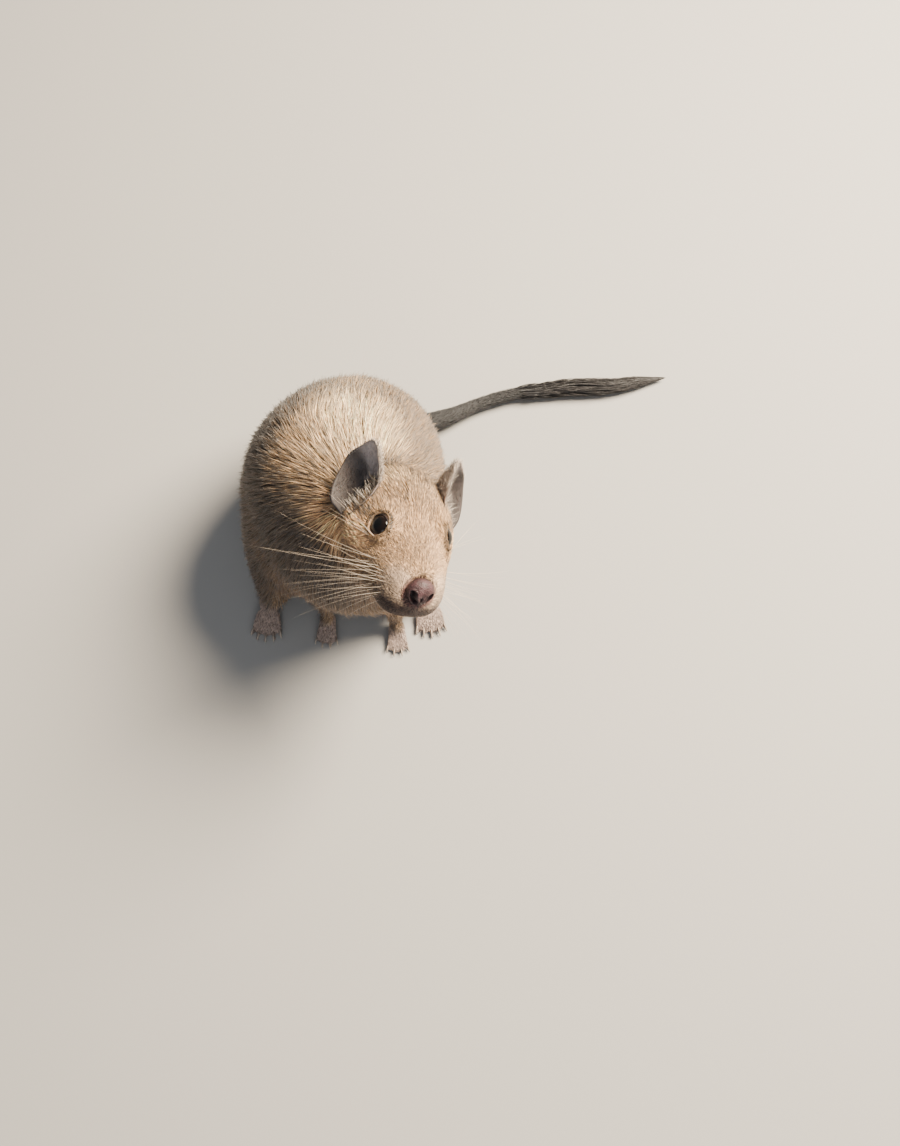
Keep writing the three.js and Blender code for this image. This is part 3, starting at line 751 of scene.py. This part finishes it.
def hairs(name, faces, slot, seed, around, material, clump, pull, tone):
    maker = np.random.default_rng(seed)
    expected = face_areas[faces] * 1e6 * hair_density[faces]
    chosen = np.repeat(faces, np.floor(expected + maker.random(len(faces))).astype(int))
    u, v = maker.random((2, len(chosen)))
    shares = np.stack([(1 - u) * (1 - v), u * (1 - v), u * v, (1 - u) * v], axis=1)[:, :, None]
    roots, normals, zones, ways = (
        (values[quads[chosen]] * shares).sum(axis=1)
        for values in (skin_points, skin_normals, vertex_zones, lie)
    )
    grows, ways = round_eyes(roots, ways)
    grows &= (pad_reach(roots) > 0.97) & (inside_ear(roots) < 0.5) & (on_mouth(in_head(roots)) < 0.6)
    roots, normals, zones, ways, chosen = (v[grows] for v in (roots, normals, zones, ways, chosen))
    many = len(roots)
    twist = maker.normal(0, 0.15, many) + 0.36 * drift(roots, 16.0, 2) + 0.24 * drift(roots, 6.0, 3)
    ways = laid_flat(ways, normals)
    ways = ways * np.cos(twist)[:, None] + np.cross(normals, ways) * np.sin(twist)[:, None]
    guard = maker.random(many) < GUARD_SHARE
    lengths = hair_length[chosen] * maker.uniform(0.65, 1.1, many) * np.where(guard, 1.2, 1.0) / 1000
    depths = face_depth[chosen] * maker.uniform(0.5, 1.0, many) * np.where(guard, 1.3, 1.0) / 1000
    cell = np.floor(roots * 1000 / clump + maker.uniform(0, 1, 3) + 0.35 * drift(roots, 5.0, 4)[:, None])
    _, clump_of = np.unique(cell.astype(int), axis=0, return_inverse=True)
    clump_of = clump_of.ravel()
    members = np.bincount(clump_of).astype(float)
    tips = roots + ways * lengths[:, None]
    clump_tips = np.stack([np.bincount(clump_of, tips[:, k]) / members for k in range(3)], axis=1)
    lean = (clump_tips[clump_of] - tips) * pull
    paths = np.empty((many, len(BLADE_STEPS), 3))
    overs = np.empty((many, len(BLADE_STEPS) - 1, 3))
    paths[:, 0] = roots - normals * HAIR_SUNK / 1000
    overs[:, 0] = normals
    for k, t in enumerate(BLADE_STEPS[1:], 1):
        spots = roots + ways * (lengths * t)[:, None] + lean * t**1.3
        spots, near = settle(spots + normals * (lengths * t**2 * 0.08)[:, None])
        rise = depths * (1 - (1 - t) ** 1.7)
        paths[:, k] = spots + face_normals[near] * rise[:, None]
        if k < len(BLADE_STEPS) - 1:
            overs[:, k] = face_normals[near]
    paths[:, :, 2] = np.maximum(paths[:, :, 2], HAIR_FLOOR)
    color = markings(roots, normals, {"head": zones[:, 0], "foot": zones[:, 1], "tail": zones[:, 2]})
    shade = (1 + maker.normal(0, tone, many)) * (1 + maker.normal(0, 0.10, len(members))[clump_of])
    color = color * np.clip(shade, 0.35, 1.8)[:, None]
    tones, shares_of_tones = zip(*TIP_TONES)
    tip_tone = maker.choice(tones, many, p=shares_of_tones)
    colors = np.stack([color * ROOT_TONE, color * MIDDLE_TONE, color * tip_tone[:, None]], axis=1)
    thick = hair_width[chosen] * maker.uniform(0.7, 1.25, many) * np.where(guard, 0.75, 1.0) / 1000
    piece = blades(name, paths, overs, thick, colors, material, around)
    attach(piece, "root")


def faces_of(*names):
    return grown_from(*names)[quads[:, 0]]


fur = fur_material("fur", 0.6, 0.12)
face_fur = fur_material("face_fur", 0.6, 0.1)
LONG = {"material": fur, "clump": 2.1, "pull": 0.45, "tone": 0.38}
FINE = {"material": face_fur, "clump": 1.1, "pull": 0.3, "tone": 0.44}
trunk = faces_of("torso", "neck")
top = trunk & (face_normals[:, 2] > 0.35)
flank = trunk & (face_normals[:, 2] <= 0.35)
rear = face_centers[:, 1] > middle("torso")[1]
right = face_centers[:, 0] <= middle("torso")[0]
head_faces = faces_of("head")
along_face = in_head(face_centers)[:, 0]
coat_parts = {
    "coat_back": (top & rear, "back_coat", SIDEWAYS, LONG),
    "coat_shoulders": (top & ~rear, "back_coat", UP, LONG),
    "coat_flank_right": (flank & right, "back_coat", UP, LONG),
    "coat_flank_left": (flank & ~right, "back_coat", UP, LONG),
    "coat_thigh_right": (faces_of("thigh_right"), "back_coat", SIDEWAYS, LONG),
    "coat_thigh_left": (faces_of("thigh_left"), "back_coat", SIDEWAYS, LONG),
    "coat_forelegs": (faces_of("foreleg_right", "foreleg_left"), "belly_coat", UP, FINE),
    "coat_feet": (faces_of(*FEET), "foot_skin", UP, FINE),
    "coat_tail": (faces_of(*TAIL), "tail_coat", UP, FINE),
    "coat_crown": (head_faces & (along_face <= -6), "face_coat", head_f, FINE),
    "coat_cheeks": (head_faces & (along_face > -6) & (along_face <= 9), "face_coat", head_f, FINE),
    "coat_muzzle": (head_faces & (along_face > 9), "face_coat", head_f, FINE),
}
for seed, (name, (mask, slot, around, kind)) in enumerate(coat_parts.items(), 20):
    hairs(name, np.flatnonzero(mask), slot, seed, around, **kind)

# Brush
# The end of the tail carries long black hairs, rooted all round the thin core and lying towards the tip,
# where they close to a soft point. They grow longer and denser along the last half of the tail.
BRUSH_HAIRS = 2600
BRUSH_STEPS = 5
BRUSH_FROM, BRUSH_TO = 0.5, 0.975
BRUSH_LENGTHS = (9.0, 16.0)
BRUSH_SHORTEST = 3.0
BRUSH_WIDTH = 0.42
BRUSH_SPREAD = 4.1
BRUSH_CLOSING = ((0.8, 1.0), (0.93, 0.7), (1.04, 0.08))
BRUSH_CORE = ((0.45, 2.6), (0.7, 1.6), (1.0, 0.3))
BLACK = (0.013, 0.011, 0.011)
maker = np.random.default_rng(71)
shares = BRUSH_FROM + (BRUSH_TO - BRUSH_FROM) * maker.random(BRUSH_HAIRS) ** 0.75
turns = maker.uniform(0, 2 * math.pi, BRUSH_HAIRS)
tail_length = np.linalg.norm(np.diff(tail_line, axis=0), axis=1).sum() * 1000
lengths = np.interp(shares, (BRUSH_FROM, 0.7), BRUSH_LENGTHS) * maker.uniform(0.7, 1.1, BRUSH_HAIRS)
limits = maker.uniform(0.93, 1.045, BRUSH_HAIRS)
lengths = np.maximum(np.minimum(lengths, (limits - shares) * tail_length), BRUSH_SHORTEST)
turn_drift = maker.normal(0, 0.25, BRUSH_HAIRS)
spread = BRUSH_SPREAD * maker.uniform(0.55, 1.0, BRUSH_HAIRS)
spread = spread * np.interp(shares, (BRUSH_FROM, 0.62), (0.95, 1.0))
paths = np.empty((BRUSH_HAIRS, BRUSH_STEPS, 3))
overs = np.empty((BRUSH_HAIRS, BRUSH_STEPS - 1, 3))
for k, t in enumerate(np.linspace(0, 1, BRUSH_STEPS)):
    at = shares + t * lengths / tail_length
    centers = along_tail(np.minimum(at, 1.0))
    ahead = unit(centers - along_tail(np.minimum(at, 1.0) - 0.01))
    centers += ahead * (np.maximum(at - 1, 0) * tail_length / 1000)[:, None]
    sideways = unit(np.cross(ahead, (0, 0, 1.0)))
    upward = np.cross(sideways, ahead)
    angle = turns + turn_drift * t
    out = sideways * np.cos(angle)[:, None] + upward * np.sin(angle)[:, None]
    closing = np.interp(at, *np.array(BRUSH_CLOSING).T)
    core = np.interp(at, *np.array(BRUSH_CORE).T)
    radius = np.maximum(core + (spread * closing - core) * (1 - (1 - t) ** 2), 0.15)
    paths[:, k] = centers + out * radius[:, None] / 1000
    if k < BRUSH_STEPS - 1:
        overs[:, k] = out
paths[:, :, 2] = np.maximum(paths[:, :, 2], HAIR_FLOOR)
tones = np.clip(1 + maker.normal(0, 0.35, BRUSH_HAIRS), 0.4, 2.2)
darkening = ramp(shares, BRUSH_FROM - 0.02, BRUSH_FROM + 0.1)
base = toward(np.tile(np.array(CHARCOAL), (BRUSH_HAIRS, 1)), BLACK, darkening)
colors = np.repeat((base * tones[:, None])[:, None, :], BRUSH_STEPS, axis=1)
widths = BRUSH_WIDTH * maker.uniform(0.7, 1.3, BRUSH_HAIRS) / 1000
brush = blades("brush", paths, overs, widths, colors, fur_material("black_fur", 0.42, 0.1), UP)
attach(brush, "root")

# Eyes and lids
# Glossy black-brown balls sit in their sockets behind a bare rim of lid. The rim is a ring of skin that
# closes on the ball, dark at its edge and pinkish cream outside, and disappears under the hairs.
EYE_RADIUS = 4.1
EYE_ROWS, EYE_SIDES, LID_SIDES = 28, 48, 64
LID_HALF_WIDTH = 3.55
LID_HALF_HEIGHT = 3.05
LID_SECTION = ((-2, 4.09), (-2, 4.28), (2, 4.42), (7, 4.42), (14, 4.2), (22, 3.8), (14, 3.5), (2, 3.7))
LID_TONES = (0.0, 0.0, 0.1, 0.5, 1.0, 1.0, 1.0, 0.0)
LID_EDGE = (0.02, 0.012, 0.01)
LID_SKIN = (0.1, 0.055, 0.036)
IRIS = (0.004, 0.0025, 0.002)
PUPIL = (0.002, 0.002, 0.002)
PUPIL_EDGE = (22, 30)


def outward(piece):
    shape = bmesh.new()
    shape.from_mesh(piece.data)
    bmesh.ops.recalc_face_normals(shape, faces=shape.faces)
    shape.to_mesh(piece.data)
    shape.free()


eye_material, _, eye_shader = marked_material("eye", 0.05, 0.0, 0.15, 500.0)
eye_shader.inputs["Specular IOR Level"].default_value = 0.3
lid_material, lid_tree, lid_shader = marked_material("lid", 0.45, 0.1, 0.15, 1500.0)
bump_node(lid_tree, lid_shader, noise_node(lid_tree, 2500.0), 0.0001, 0.5)
for side_name, side, center in eyes:
    gaze = gaze_of(side)
    wide = unit(head_f - gaze * head_f.dot(gaze))
    tall = np.cross(gaze, wide) * side

    tilt = np.linspace(0.02, math.pi - 0.02, EYE_ROWS)
    flat = ring_ways(EYE_SIDES, wide, tall)
    points = np.cos(tilt)[:, None, None] * gaze + np.sin(tilt)[:, None, None] * flat
    points = center + EYE_RADIUS / 1000 * points.reshape(-1, 3)
    ball = new_piece("eyeball_" + side_name, points, ring_faces(EYE_ROWS, EYE_SIDES), eye_material)
    outward(ball)
    share = ramp(np.repeat(np.degrees(tilt), EYE_SIDES), *PUPIL_EDGE)
    paint(ball.data, toward(np.tile(PUPIL, (len(points), 1)), IRIS, share))
    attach(ball, "root")
    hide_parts("eye_" + side_name)

    around = turn_angles(LID_SIDES)
    flat = ring_ways(LID_SIDES, wide, tall)
    opening = 1 / np.hypot(np.cos(around) / LID_HALF_WIDTH, np.sin(around) / LID_HALF_HEIGHT)
    margin = np.arcsin(np.minimum(opening / EYE_RADIUS, 0.97))
    points = []
    for extra, radius in LID_SECTION:
        angle = margin + math.radians(extra)
        ring = np.outer(np.cos(angle), gaze) + np.sin(angle)[:, None] * flat
        points.append(center + radius / 1000 * ring)
    lid_faces = ring_faces(len(LID_SECTION), LID_SIDES, closed=True)
    lid = new_piece("lid_" + side_name, np.vstack(points), lid_faces, lid_material)
    outward(lid)
    tones = np.repeat(LID_TONES, LID_SIDES)
    paint(lid.data, toward(np.tile(LID_EDGE, (len(tones), 1)), LID_SKIN, tones))
    lid.modifiers.new("soft", "SUBSURF").render_levels = 1
    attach(lid, "root")

# Nose
# A bare, finely grained pad of pinkish brown skin. It narrows towards the lip, is split by a groove, and has
# two comma-shaped nostrils with a slightly raised rim. It is moist, so that it shines a little.
NOSTRIL = ((1.2, -2.5), (2.0, -1.9), (2.7, -0.9), (2.9, 0.5))
NOSTRIL_DEPTH, RIM_HEIGHT, GROOVE_DEPTH, GRAIN_HEIGHT = 2.0, 0.32, 0.7, 0.09
PAD_ROWS, PAD_SIDES = 72, 120
PAD_SKIN = (0.036, 0.0145, 0.0165)
PAD_PALE = (0.07, 0.046, 0.047)
# Painted shade for the nostrils and the groove.
PAD_PIT_SHADE = (0.012, 0.005, 0.005)
tilt = np.linspace(0.01, math.pi - 0.01, PAD_ROWS)
around = turn_angles(PAD_SIDES)
ahead = np.outer(np.cos(tilt), np.ones(PAD_SIDES)).ravel()
left = np.outer(np.sin(tilt), np.cos(around)).ravel() * PAD_SIZES[1]
over = np.outer(np.sin(tilt), np.sin(around)).ravel() * PAD_SIZES[2]
left *= 1 - 0.2 * ramp(over, 0.5, -4)
pit = np.full(len(left), 1e9)
for (a, b), (c, d) in zip(NOSTRIL[:-1], NOSTRIL[1:]):
    start, step = np.array([a, b]), np.array([c - a, d - b])
    spots = np.stack([np.abs(left), over], axis=1) - start
    share = np.clip(spots @ step / step.dot(step), 0, 1)
    pit = np.minimum(pit, np.linalg.norm(spots - share[:, None] * step, axis=1))
groove = bell(left, 0.3) * ramp(over, 0.6, -1.4)
front_side = ramp(ahead, 0.0, 0.3)
pad_spots = np.stack([ahead * PAD_SIZES[0], left, over], axis=1) / 1000
grain = drift(pad_spots, 0.55, 5) + 1.4 * drift(pad_spots, 1.1, 2)
inward = NOSTRIL_DEPTH * bell(pit, 0.72) - RIM_HEIGHT * bell(pit - 1.1, 0.35) + GROOVE_DEPTH * groove
out = ahead * PAD_SIZES[0] - inward * front_side + GRAIN_HEIGHT * grain * front_side
nose_center = middle("nose") - head_u * PAD_DROP / 1000
points = nose_center + (np.outer(out, head_f) + np.outer(left, head_l) + np.outer(over, head_u)) / 1000
pad_material, pad_tree, pad_shader = marked_material("nose_pad", 0.55, 0.0, 0.25, 1300.0)
cells = pad_tree.nodes.new("ShaderNodeTexVoronoi")
cells.inputs["Scale"].default_value = 2600.0
pad_place = pad_tree.nodes.new("ShaderNodeTexCoord")
link(pad_tree, pad_place.outputs["Object"], cells.inputs["Vector"])
pad_shader.inputs["Specular IOR Level"].default_value = 0.35
bump_node(pad_tree, pad_shader, cells.outputs["Distance"], 0.0002, 0.9)
pad_shader.inputs["Coat Weight"].default_value = 0.1
pad_shader.inputs["Coat Roughness"].default_value = 0.35
pad = new_piece("nose_pad", points, ring_faces(PAD_ROWS, PAD_SIDES), pad_material)
outward(pad)
pale = ramp(np.hypot(left / 1.9, (over + 0.6) / 1.9), 1.1, 0.3) * front_side
pale = pale * np.clip(0.45 + 0.5 * grain, 0, 1)
# Painted shade: the nostrils and the groove are darkened.
pit_shade = np.clip(1.2 * bell(pit, 0.85) + 0.5 * groove, 0, 1) * front_side
pad_colors = np.array(PAD_SKIN) * (1 + 0.4 * grain)[:, None]
paint(pad.data, toward(toward(pad_colors, PAD_PALE, pale), PAD_PIT_SHADE, pit_shade * 0.9))
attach(pad, "root")
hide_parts("nose")

# Ears
# Thin cups of dark grey skin with a rolled edge stand on the back corners of the head, open to the side and
# front. Fine pale down lines them, longer hairs fringe the front edge, and a pale tuft guards the opening.
EAR_LOBE_OUT, EAR_LOBE_DOWN = 3.2, 1.4
EAR_SIDES, EAR_RINGS = 72, 22
EAR_INSIDE = (0.4, 0.34, 0.315)
EAR_OUTSIDE = (0.2, 0.155, 0.125)
EAR_EDGE = (0.3, 0.22, 0.19)
EAR_DOWN = (0.34, 0.29, 0.265)
DOWN = (0.5, 0.43, 0.37)
TUFT_PALE = (0.52, 0.45, 0.38)
EAR_HAIRS = {
    "inner": {"many": 700, "radii": (0.15, 0.95), "angles": (-2.2, 2.2), "sizes": (1.2, 2.2)},
    "fringe": {"many": 260, "radii": (0.93, 1.0), "angles": (-1.2, 1.7), "sizes": (0.8, 1.5)},
    "front": {"many": 200, "radii": (0.86, 1.0), "angles": (0.4, 1.4), "sizes": (2.4, 4.6)},
    "guard": {"many": 50, "radii": (0.72, 1.0), "angles": (1.45, 2.35), "sizes": (3.5, 6.5)},
    "outer": {"many": 1200, "radii": (0.1, 0.98), "angles": (-3.1, 3.1), "sizes": (1.2, 2.0)},
}
EAR_HAIR_LOOKS = {
    "inner": {"width": 0.1, "color": EAR_DOWN, "lift": 0.25},
    "fringe": {"width": 0.12, "color": DOWN, "lift": 0.9},
    "front": {"width": 0.13, "color": TUFT_PALE, "lift": 0.7},
    "guard": {"width": 0.1, "color": TUFT_PALE, "lift": 0.7},
    "outer": {"width": 0.16, "color": EAR_OUTSIDE, "lift": -0.2},
}
EAR_HAIR_STEPS = np.array([0.0, 0.35, 0.7, 1.0])
EAR_HAIR_TONES = np.array([0.7, 0.9, 1.05, 1.15])
ear_material, ear_tree, ear_shader = marked_material("ear_skin", 0.55, 0.05, 0.2, 700.0)
bump_node(ear_tree, ear_shader, noise_node(ear_tree, 1600.0), 0.00015, 0.5)
ear_shader.inputs["Subsurface Weight"].default_value = 0.15
ear_shader.inputs["Subsurface Radius"].default_value = (0.0012, 0.0005, 0.0003)


# Painted shade: marks the lower part of each ear cup and its back side, turned from the light.
def shaded_part(r, a):
    low = ramp(r * np.cos(a), 0.4, -0.5)
    front_low = ramp(r * np.sin(a), 0.1, -0.5) * ramp(np.cos(a), 0.9, 0.5)
    return np.maximum(low, front_low)


def ear_world(facts):
    tip, opening, across = (way @ head_axes for way in ear_axes(facts)[1:])
    return tip, opening, across, 1.0 if across.dot(head_f) > 0 else -1.0


def ear_spot(facts, r, a, back=0.0):
    foot, tip_way, open_way, across = ear_axes(facts)
    level = EAR_MIDDLE + EAR_RISE * r * np.cos(a)
    height = EAR_HEIGHT * level
    narrow = ear_narrowing(level) * (1 - 0.3 * ramp(level, 0.62, 1.0))
    fold = 0.35 * np.sin(3 * a) * r * (1 - r) + 0.12 * np.sin(height * 2.3) * (1 - r)
    hollow = -EAR_CUP * (1 - r * r) * (1.15 - 0.3 * r * np.cos(a)) + fold
    edge = 0.25 * bell(r - 0.96, 0.05)
    lobe = facts["lobe"] * r * r * ramp(-np.cos(a), -0.2, 0.6) * (1 - ramp(-np.cos(a), 0.6, 1.0))
    rise = height - EAR_SUNK - EAR_LOBE_DOWN * lobe
    span = EAR_WIDTH / 2 * r * np.sin(a) * narrow
    out = hollow + EAR_LOBE_OUT * lobe + edge - back
    return on_head(foot + np.outer(rise, tip_way) + np.outer(span, across) + np.outer(out, open_way))


def ear_hairs(facts, kind, maker):
    tip, opening, across, front_sign = ear_world(facts)
    spread, look = EAR_HAIRS[kind], EAR_HAIR_LOOKS[kind]
    many = spread["many"]
    near, far = spread["radii"]
    r = np.sqrt(maker.uniform(near**2, far**2, many))
    a = maker.uniform(*spread["angles"], many) * front_sign
    roots = ear_spot(facts, r, a, 0.6 if kind == "outer" else 0.0)
    size = maker.uniform(*spread["sizes"], many) / 1000
    ways = tip + opening * look["lift"] + maker.normal(0, 0.22, (many, 3))
    if kind in ("fringe", "front"):
        ways = ways + across * (np.sin(a) * 0.7)[:, None] + tip * (np.cos(a) * 0.5)[:, None]
    if kind == "guard":
        ways = ways * 0.7 - across * front_sign + maker.normal(0, 0.34, (many, 3))
    ways = unit(ways)
    over = -opening if kind == "outer" else opening
    reach = size[:, None] * EAR_HAIR_STEPS
    paths = roots[:, None] + ways[:, None] * reach[:, :, None]
    paths = paths + over * 0.15 * (reach * (1 - EAR_HAIR_STEPS))[:, :, None]
    paths[:, 0] -= ways * 0.0002
    widths = look["width"] * maker.uniform(0.7, 1.2, many) / 1000
    # Painted shade: the down inside and outside the cup is darkened in its shaded part.
    bowl_shade = shaded_part(r, a * front_sign) * (0.95 if kind in ("inner", "outer") else 0.0)
    tones = toward(np.tile(look["color"], (many, 1)), EAR_BOWL_SHADE, bowl_shade)
    tones = tones * np.clip(1 + maker.normal(0, 0.2, many), 0.5, 1.4)[:, None]
    return paths, np.tile(over, (many, 3, 1)), widths, tones[:, None] * EAR_HAIR_TONES[None, :, None]


for number, (side_name, facts) in enumerate(EAR_TURNS.items()):
    tip, _, _, front_sign = ear_world(facts)
    circle = turn_angles(EAR_SIDES)
    inner = np.linspace(0.02, 1.0, EAR_RINGS)
    rings = [ear_spot(facts, r, circle) for r in inner]
    rings += [ear_spot(facts, r, circle, 0.35 + 0.45 * (1 - r)) for r in inner[::-1]]
    ear_faces = ring_faces(len(rings), EAR_SIDES)
    ear = new_piece("ear_cup_" + side_name, np.vstack(rings), ear_faces, ear_material)
    outward(ear)
    radii = np.repeat(np.concatenate([inner, inner[::-1]]), EAR_SIDES)
    inside = np.repeat([1.0, 0.0], EAR_RINGS * EAR_SIDES)
    edge = np.where(inside > 0, ramp(radii, 0.86, 1.0), ramp(radii, 0.9, 1.0))
    # Painted shade: the lower and back part of the cup is darkened, more on the inside.
    low = shaded_part(radii, np.tile(circle, 2 * EAR_RINGS) * front_sign)
    ear_colors = toward(np.tile(EAR_OUTSIDE, (len(radii), 1)), EAR_INSIDE, inside)
    ear_colors = toward(ear_colors, EAR_BOWL_SHADE, low * (0.5 + 0.46 * inside))
    paint(ear.data, toward(ear_colors, EAR_EDGE, edge * (1 - low) * 0.7))
    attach(ear, "root")
    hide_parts("ear_" + side_name)

    maker = np.random.default_rng(90 + number)
    strands = [ear_hairs(facts, kind, maker) for kind in EAR_HAIRS]
    paths, overs, widths, colors = (np.concatenate(group) for group in zip(*strands))
    down = blades("ear_down_" + side_name, paths, overs, widths, colors, face_fur, tip)
    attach(down, "root")

# Whiskers
# Long stiff pale hairs spring from rows on both sides of the muzzle and sweep out and back, bending under
# their weight. A few spring from the rim of each eye. All are thick at the root and end in a fine point.
WHISKER_ROWS = 6
WHISKERS_IN_ROW = 5
WHISKER_WIDTH = 0.1
WHISKER_STEPS = 10
EYE_HAIRS = (((6.5, 13.5, 0.5), (-17.0, 13.2, 4.0), 24.0), ((4.0, 14.5, -0.5), (-9.2, 14.8, 2.0), 20.0))
WHISKER_COLOR = (0.56, 0.47, 0.38)
maker = np.random.default_rng(55)
starts, ways, lengths, sags = [], [], [], []
for side in (-1, 1):
    for row in range(WHISKER_ROWS):
        fan = (row - 2.5) / 2.5
        for n in range(WHISKERS_IN_ROW):
            ahead = 17.8 - 2.0 * n + 0.5 * row % 1.7 + maker.normal(0, 0.4)
            height = -5.2 - 1.4 * row + maker.normal(0, 0.4)
            starts.append((ahead, side * (7.5 + 0.25 * n), height))
            back = (0.32 if side < 0 else 0.1) + 0.06 * n + maker.normal(0, 0.08)
            ways.append((-back, side, -0.5 - 0.33 * fan + maker.normal(0, 0.1)))
            lengths.append((20 + 5.4 * n - 2.0 * abs(fan)) * maker.uniform(0.8, 1.15))
            bend = np.array([0, 0, 0.8 + 0.8 * fan]) + head_f * (0.35 - 0.35 * fan)
            sags.append(-bend * maker.uniform(0.16, 0.34))
    for (ahead, out, height), (back, away, rise), long in EYE_HAIRS:
        for n in range(2):
            starts.append((ahead - 0.8 * n, side * out, height + 0.5 * n))
            ways.append((back, side * away, rise + 1.5 * n))
            lengths.append(long * (1 - 0.2 * n))
            sags.append(-head_u * 0.05)
starts, ways, lengths, sags = np.array(starts), np.array(ways), np.array(lengths), np.array(sags)
ways = unit(ways) @ head_axes
spots, near = settle(on_head(starts))
roots = spots - face_normals[near] * 0.0005
front_limit = cad_box[0][1] - 0.0012
tip_shift = ((ways + sags) * lengths[:, None] / 1000)[:, 1]
lengths = lengths * np.clip((front_limit - roots[:, 1]) / np.minimum(tip_shift, -1e-6), 0.3, 1.0)
t = np.linspace(0, 1, WHISKER_STEPS)
paths = roots[:, None] + ways[:, None] * (lengths[:, None] * t / 1000)[:, :, None]
paths = paths + (sags * lengths[:, None] / 1000)[:, None] * (t**2)[None, :, None]
paths[:, :, 2] = np.maximum(paths[:, :, 2], 0.001)
overs = unit(np.cross(np.diff(paths, axis=1), np.array([0.3, 0.2, 0.9])))
tones = np.array(WHISKER_COLOR) * np.clip(1 + maker.normal(0, 0.12, len(roots)), 0.6, 1.25)[:, None]
colors = np.repeat(tones[:, None], WHISKER_STEPS, axis=1)
widths = np.full(len(roots), WHISKER_WIDTH / 1000)
whisker_fur = fur_material("whisker", 0.35, 0.0)
taper = (1.0, 0.8, 0.35)
whiskers = blades("whiskers", paths, overs, widths, colors, whisker_fur, head_f, 0.87, taper)
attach(whiskers, "root")

# Claws
# Each toe ends in a slender curved claw of grey-brown horn, rooted in the toe and bent down to the floor.
# The hind feet have five toes, the forepaws four.
FEET_FACTS = {
    "hind_foot_right": {"heel": (-82, 128, 4.6), "aim": (-0.1, -1), "size": (27, 5.2, 5, 8.5, 3.6)},
    "hind_foot_left": {"heel": (-22, 129, 4.6), "aim": (0.12, -1), "size": (27, 5.2, 5, 8.5, 3.6)},
    "forepaw_right": {"heel": (-60, 102, 3.6), "aim": (-0.05, -1), "size": (7, 3.8, 4, 6.2, 2.6)},
    "forepaw_left": {"heel": (-32, 98.5, 3.6), "aim": (0.05, -1), "size": (7, 3.8, 4, 6.2, 2.6)},
}
CLAW_LEVELS = ((-0.6, 1.5), (0.25, 1.9), (0.6, 1.6), (0.85, 1.0), (1.0, 0.35))
CLAW_ROOT = (0.2, 0.15, 0.12)
CLAW_TIP = (0.5, 0.42, 0.34)
CLAW_WIDTH = 0.95
claw_material = marked_material("claw_horn", 0.3, 0.0, 0.15, 1500.0)[0]
claw_paths, claw_widths = [], []
for facts in FEET_FACTS.values():
    length, radius, toes, toe_length, claw_length = facts["size"]
    aim = unit(np.array([*facts["aim"], 0.0]))
    cross = np.array([-aim[1], aim[0], 0.0])
    ball_spot = np.array(facts["heel"]) + aim * (length - 1.5)
    for n in range(toes):
        spread = 2 * n / (toes - 1) - 1
        long_toe = toe_length * (1 - 0.25 * spread * spread)
        root = ball_spot + cross * spread * radius * 0.72
        heading = unit(aim + cross * spread * 0.25)
        spots = []
        for share, height in CLAW_LEVELS:
            spot = root + heading * (long_toe + 0.6 + claw_length * share)
            spots.append(place(spot[0], spot[1], height))
        claw_paths.append(spots)
        claw_widths.append(CLAW_WIDTH * (1.0 if toes == 5 else 0.85) / 1000)
claw_paths = np.array(claw_paths)
overs = np.tile(np.array([0, 0, 1.0]), (len(claw_paths), len(CLAW_LEVELS) - 1, 1))
shares = np.linspace(0, 1, len(CLAW_LEVELS))
claw_colors = toward(np.tile(CLAW_ROOT, (len(CLAW_LEVELS), 1)), CLAW_TIP, shares)
colors = np.tile(claw_colors, (len(claw_paths), 1, 1))
widths = np.array(claw_widths)
claws = blades("claws", claw_paths, overs, widths, colors, claw_material, SIDEWAYS, 0.6, (0.9, 0.9, 0.6))
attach(claws, "root")
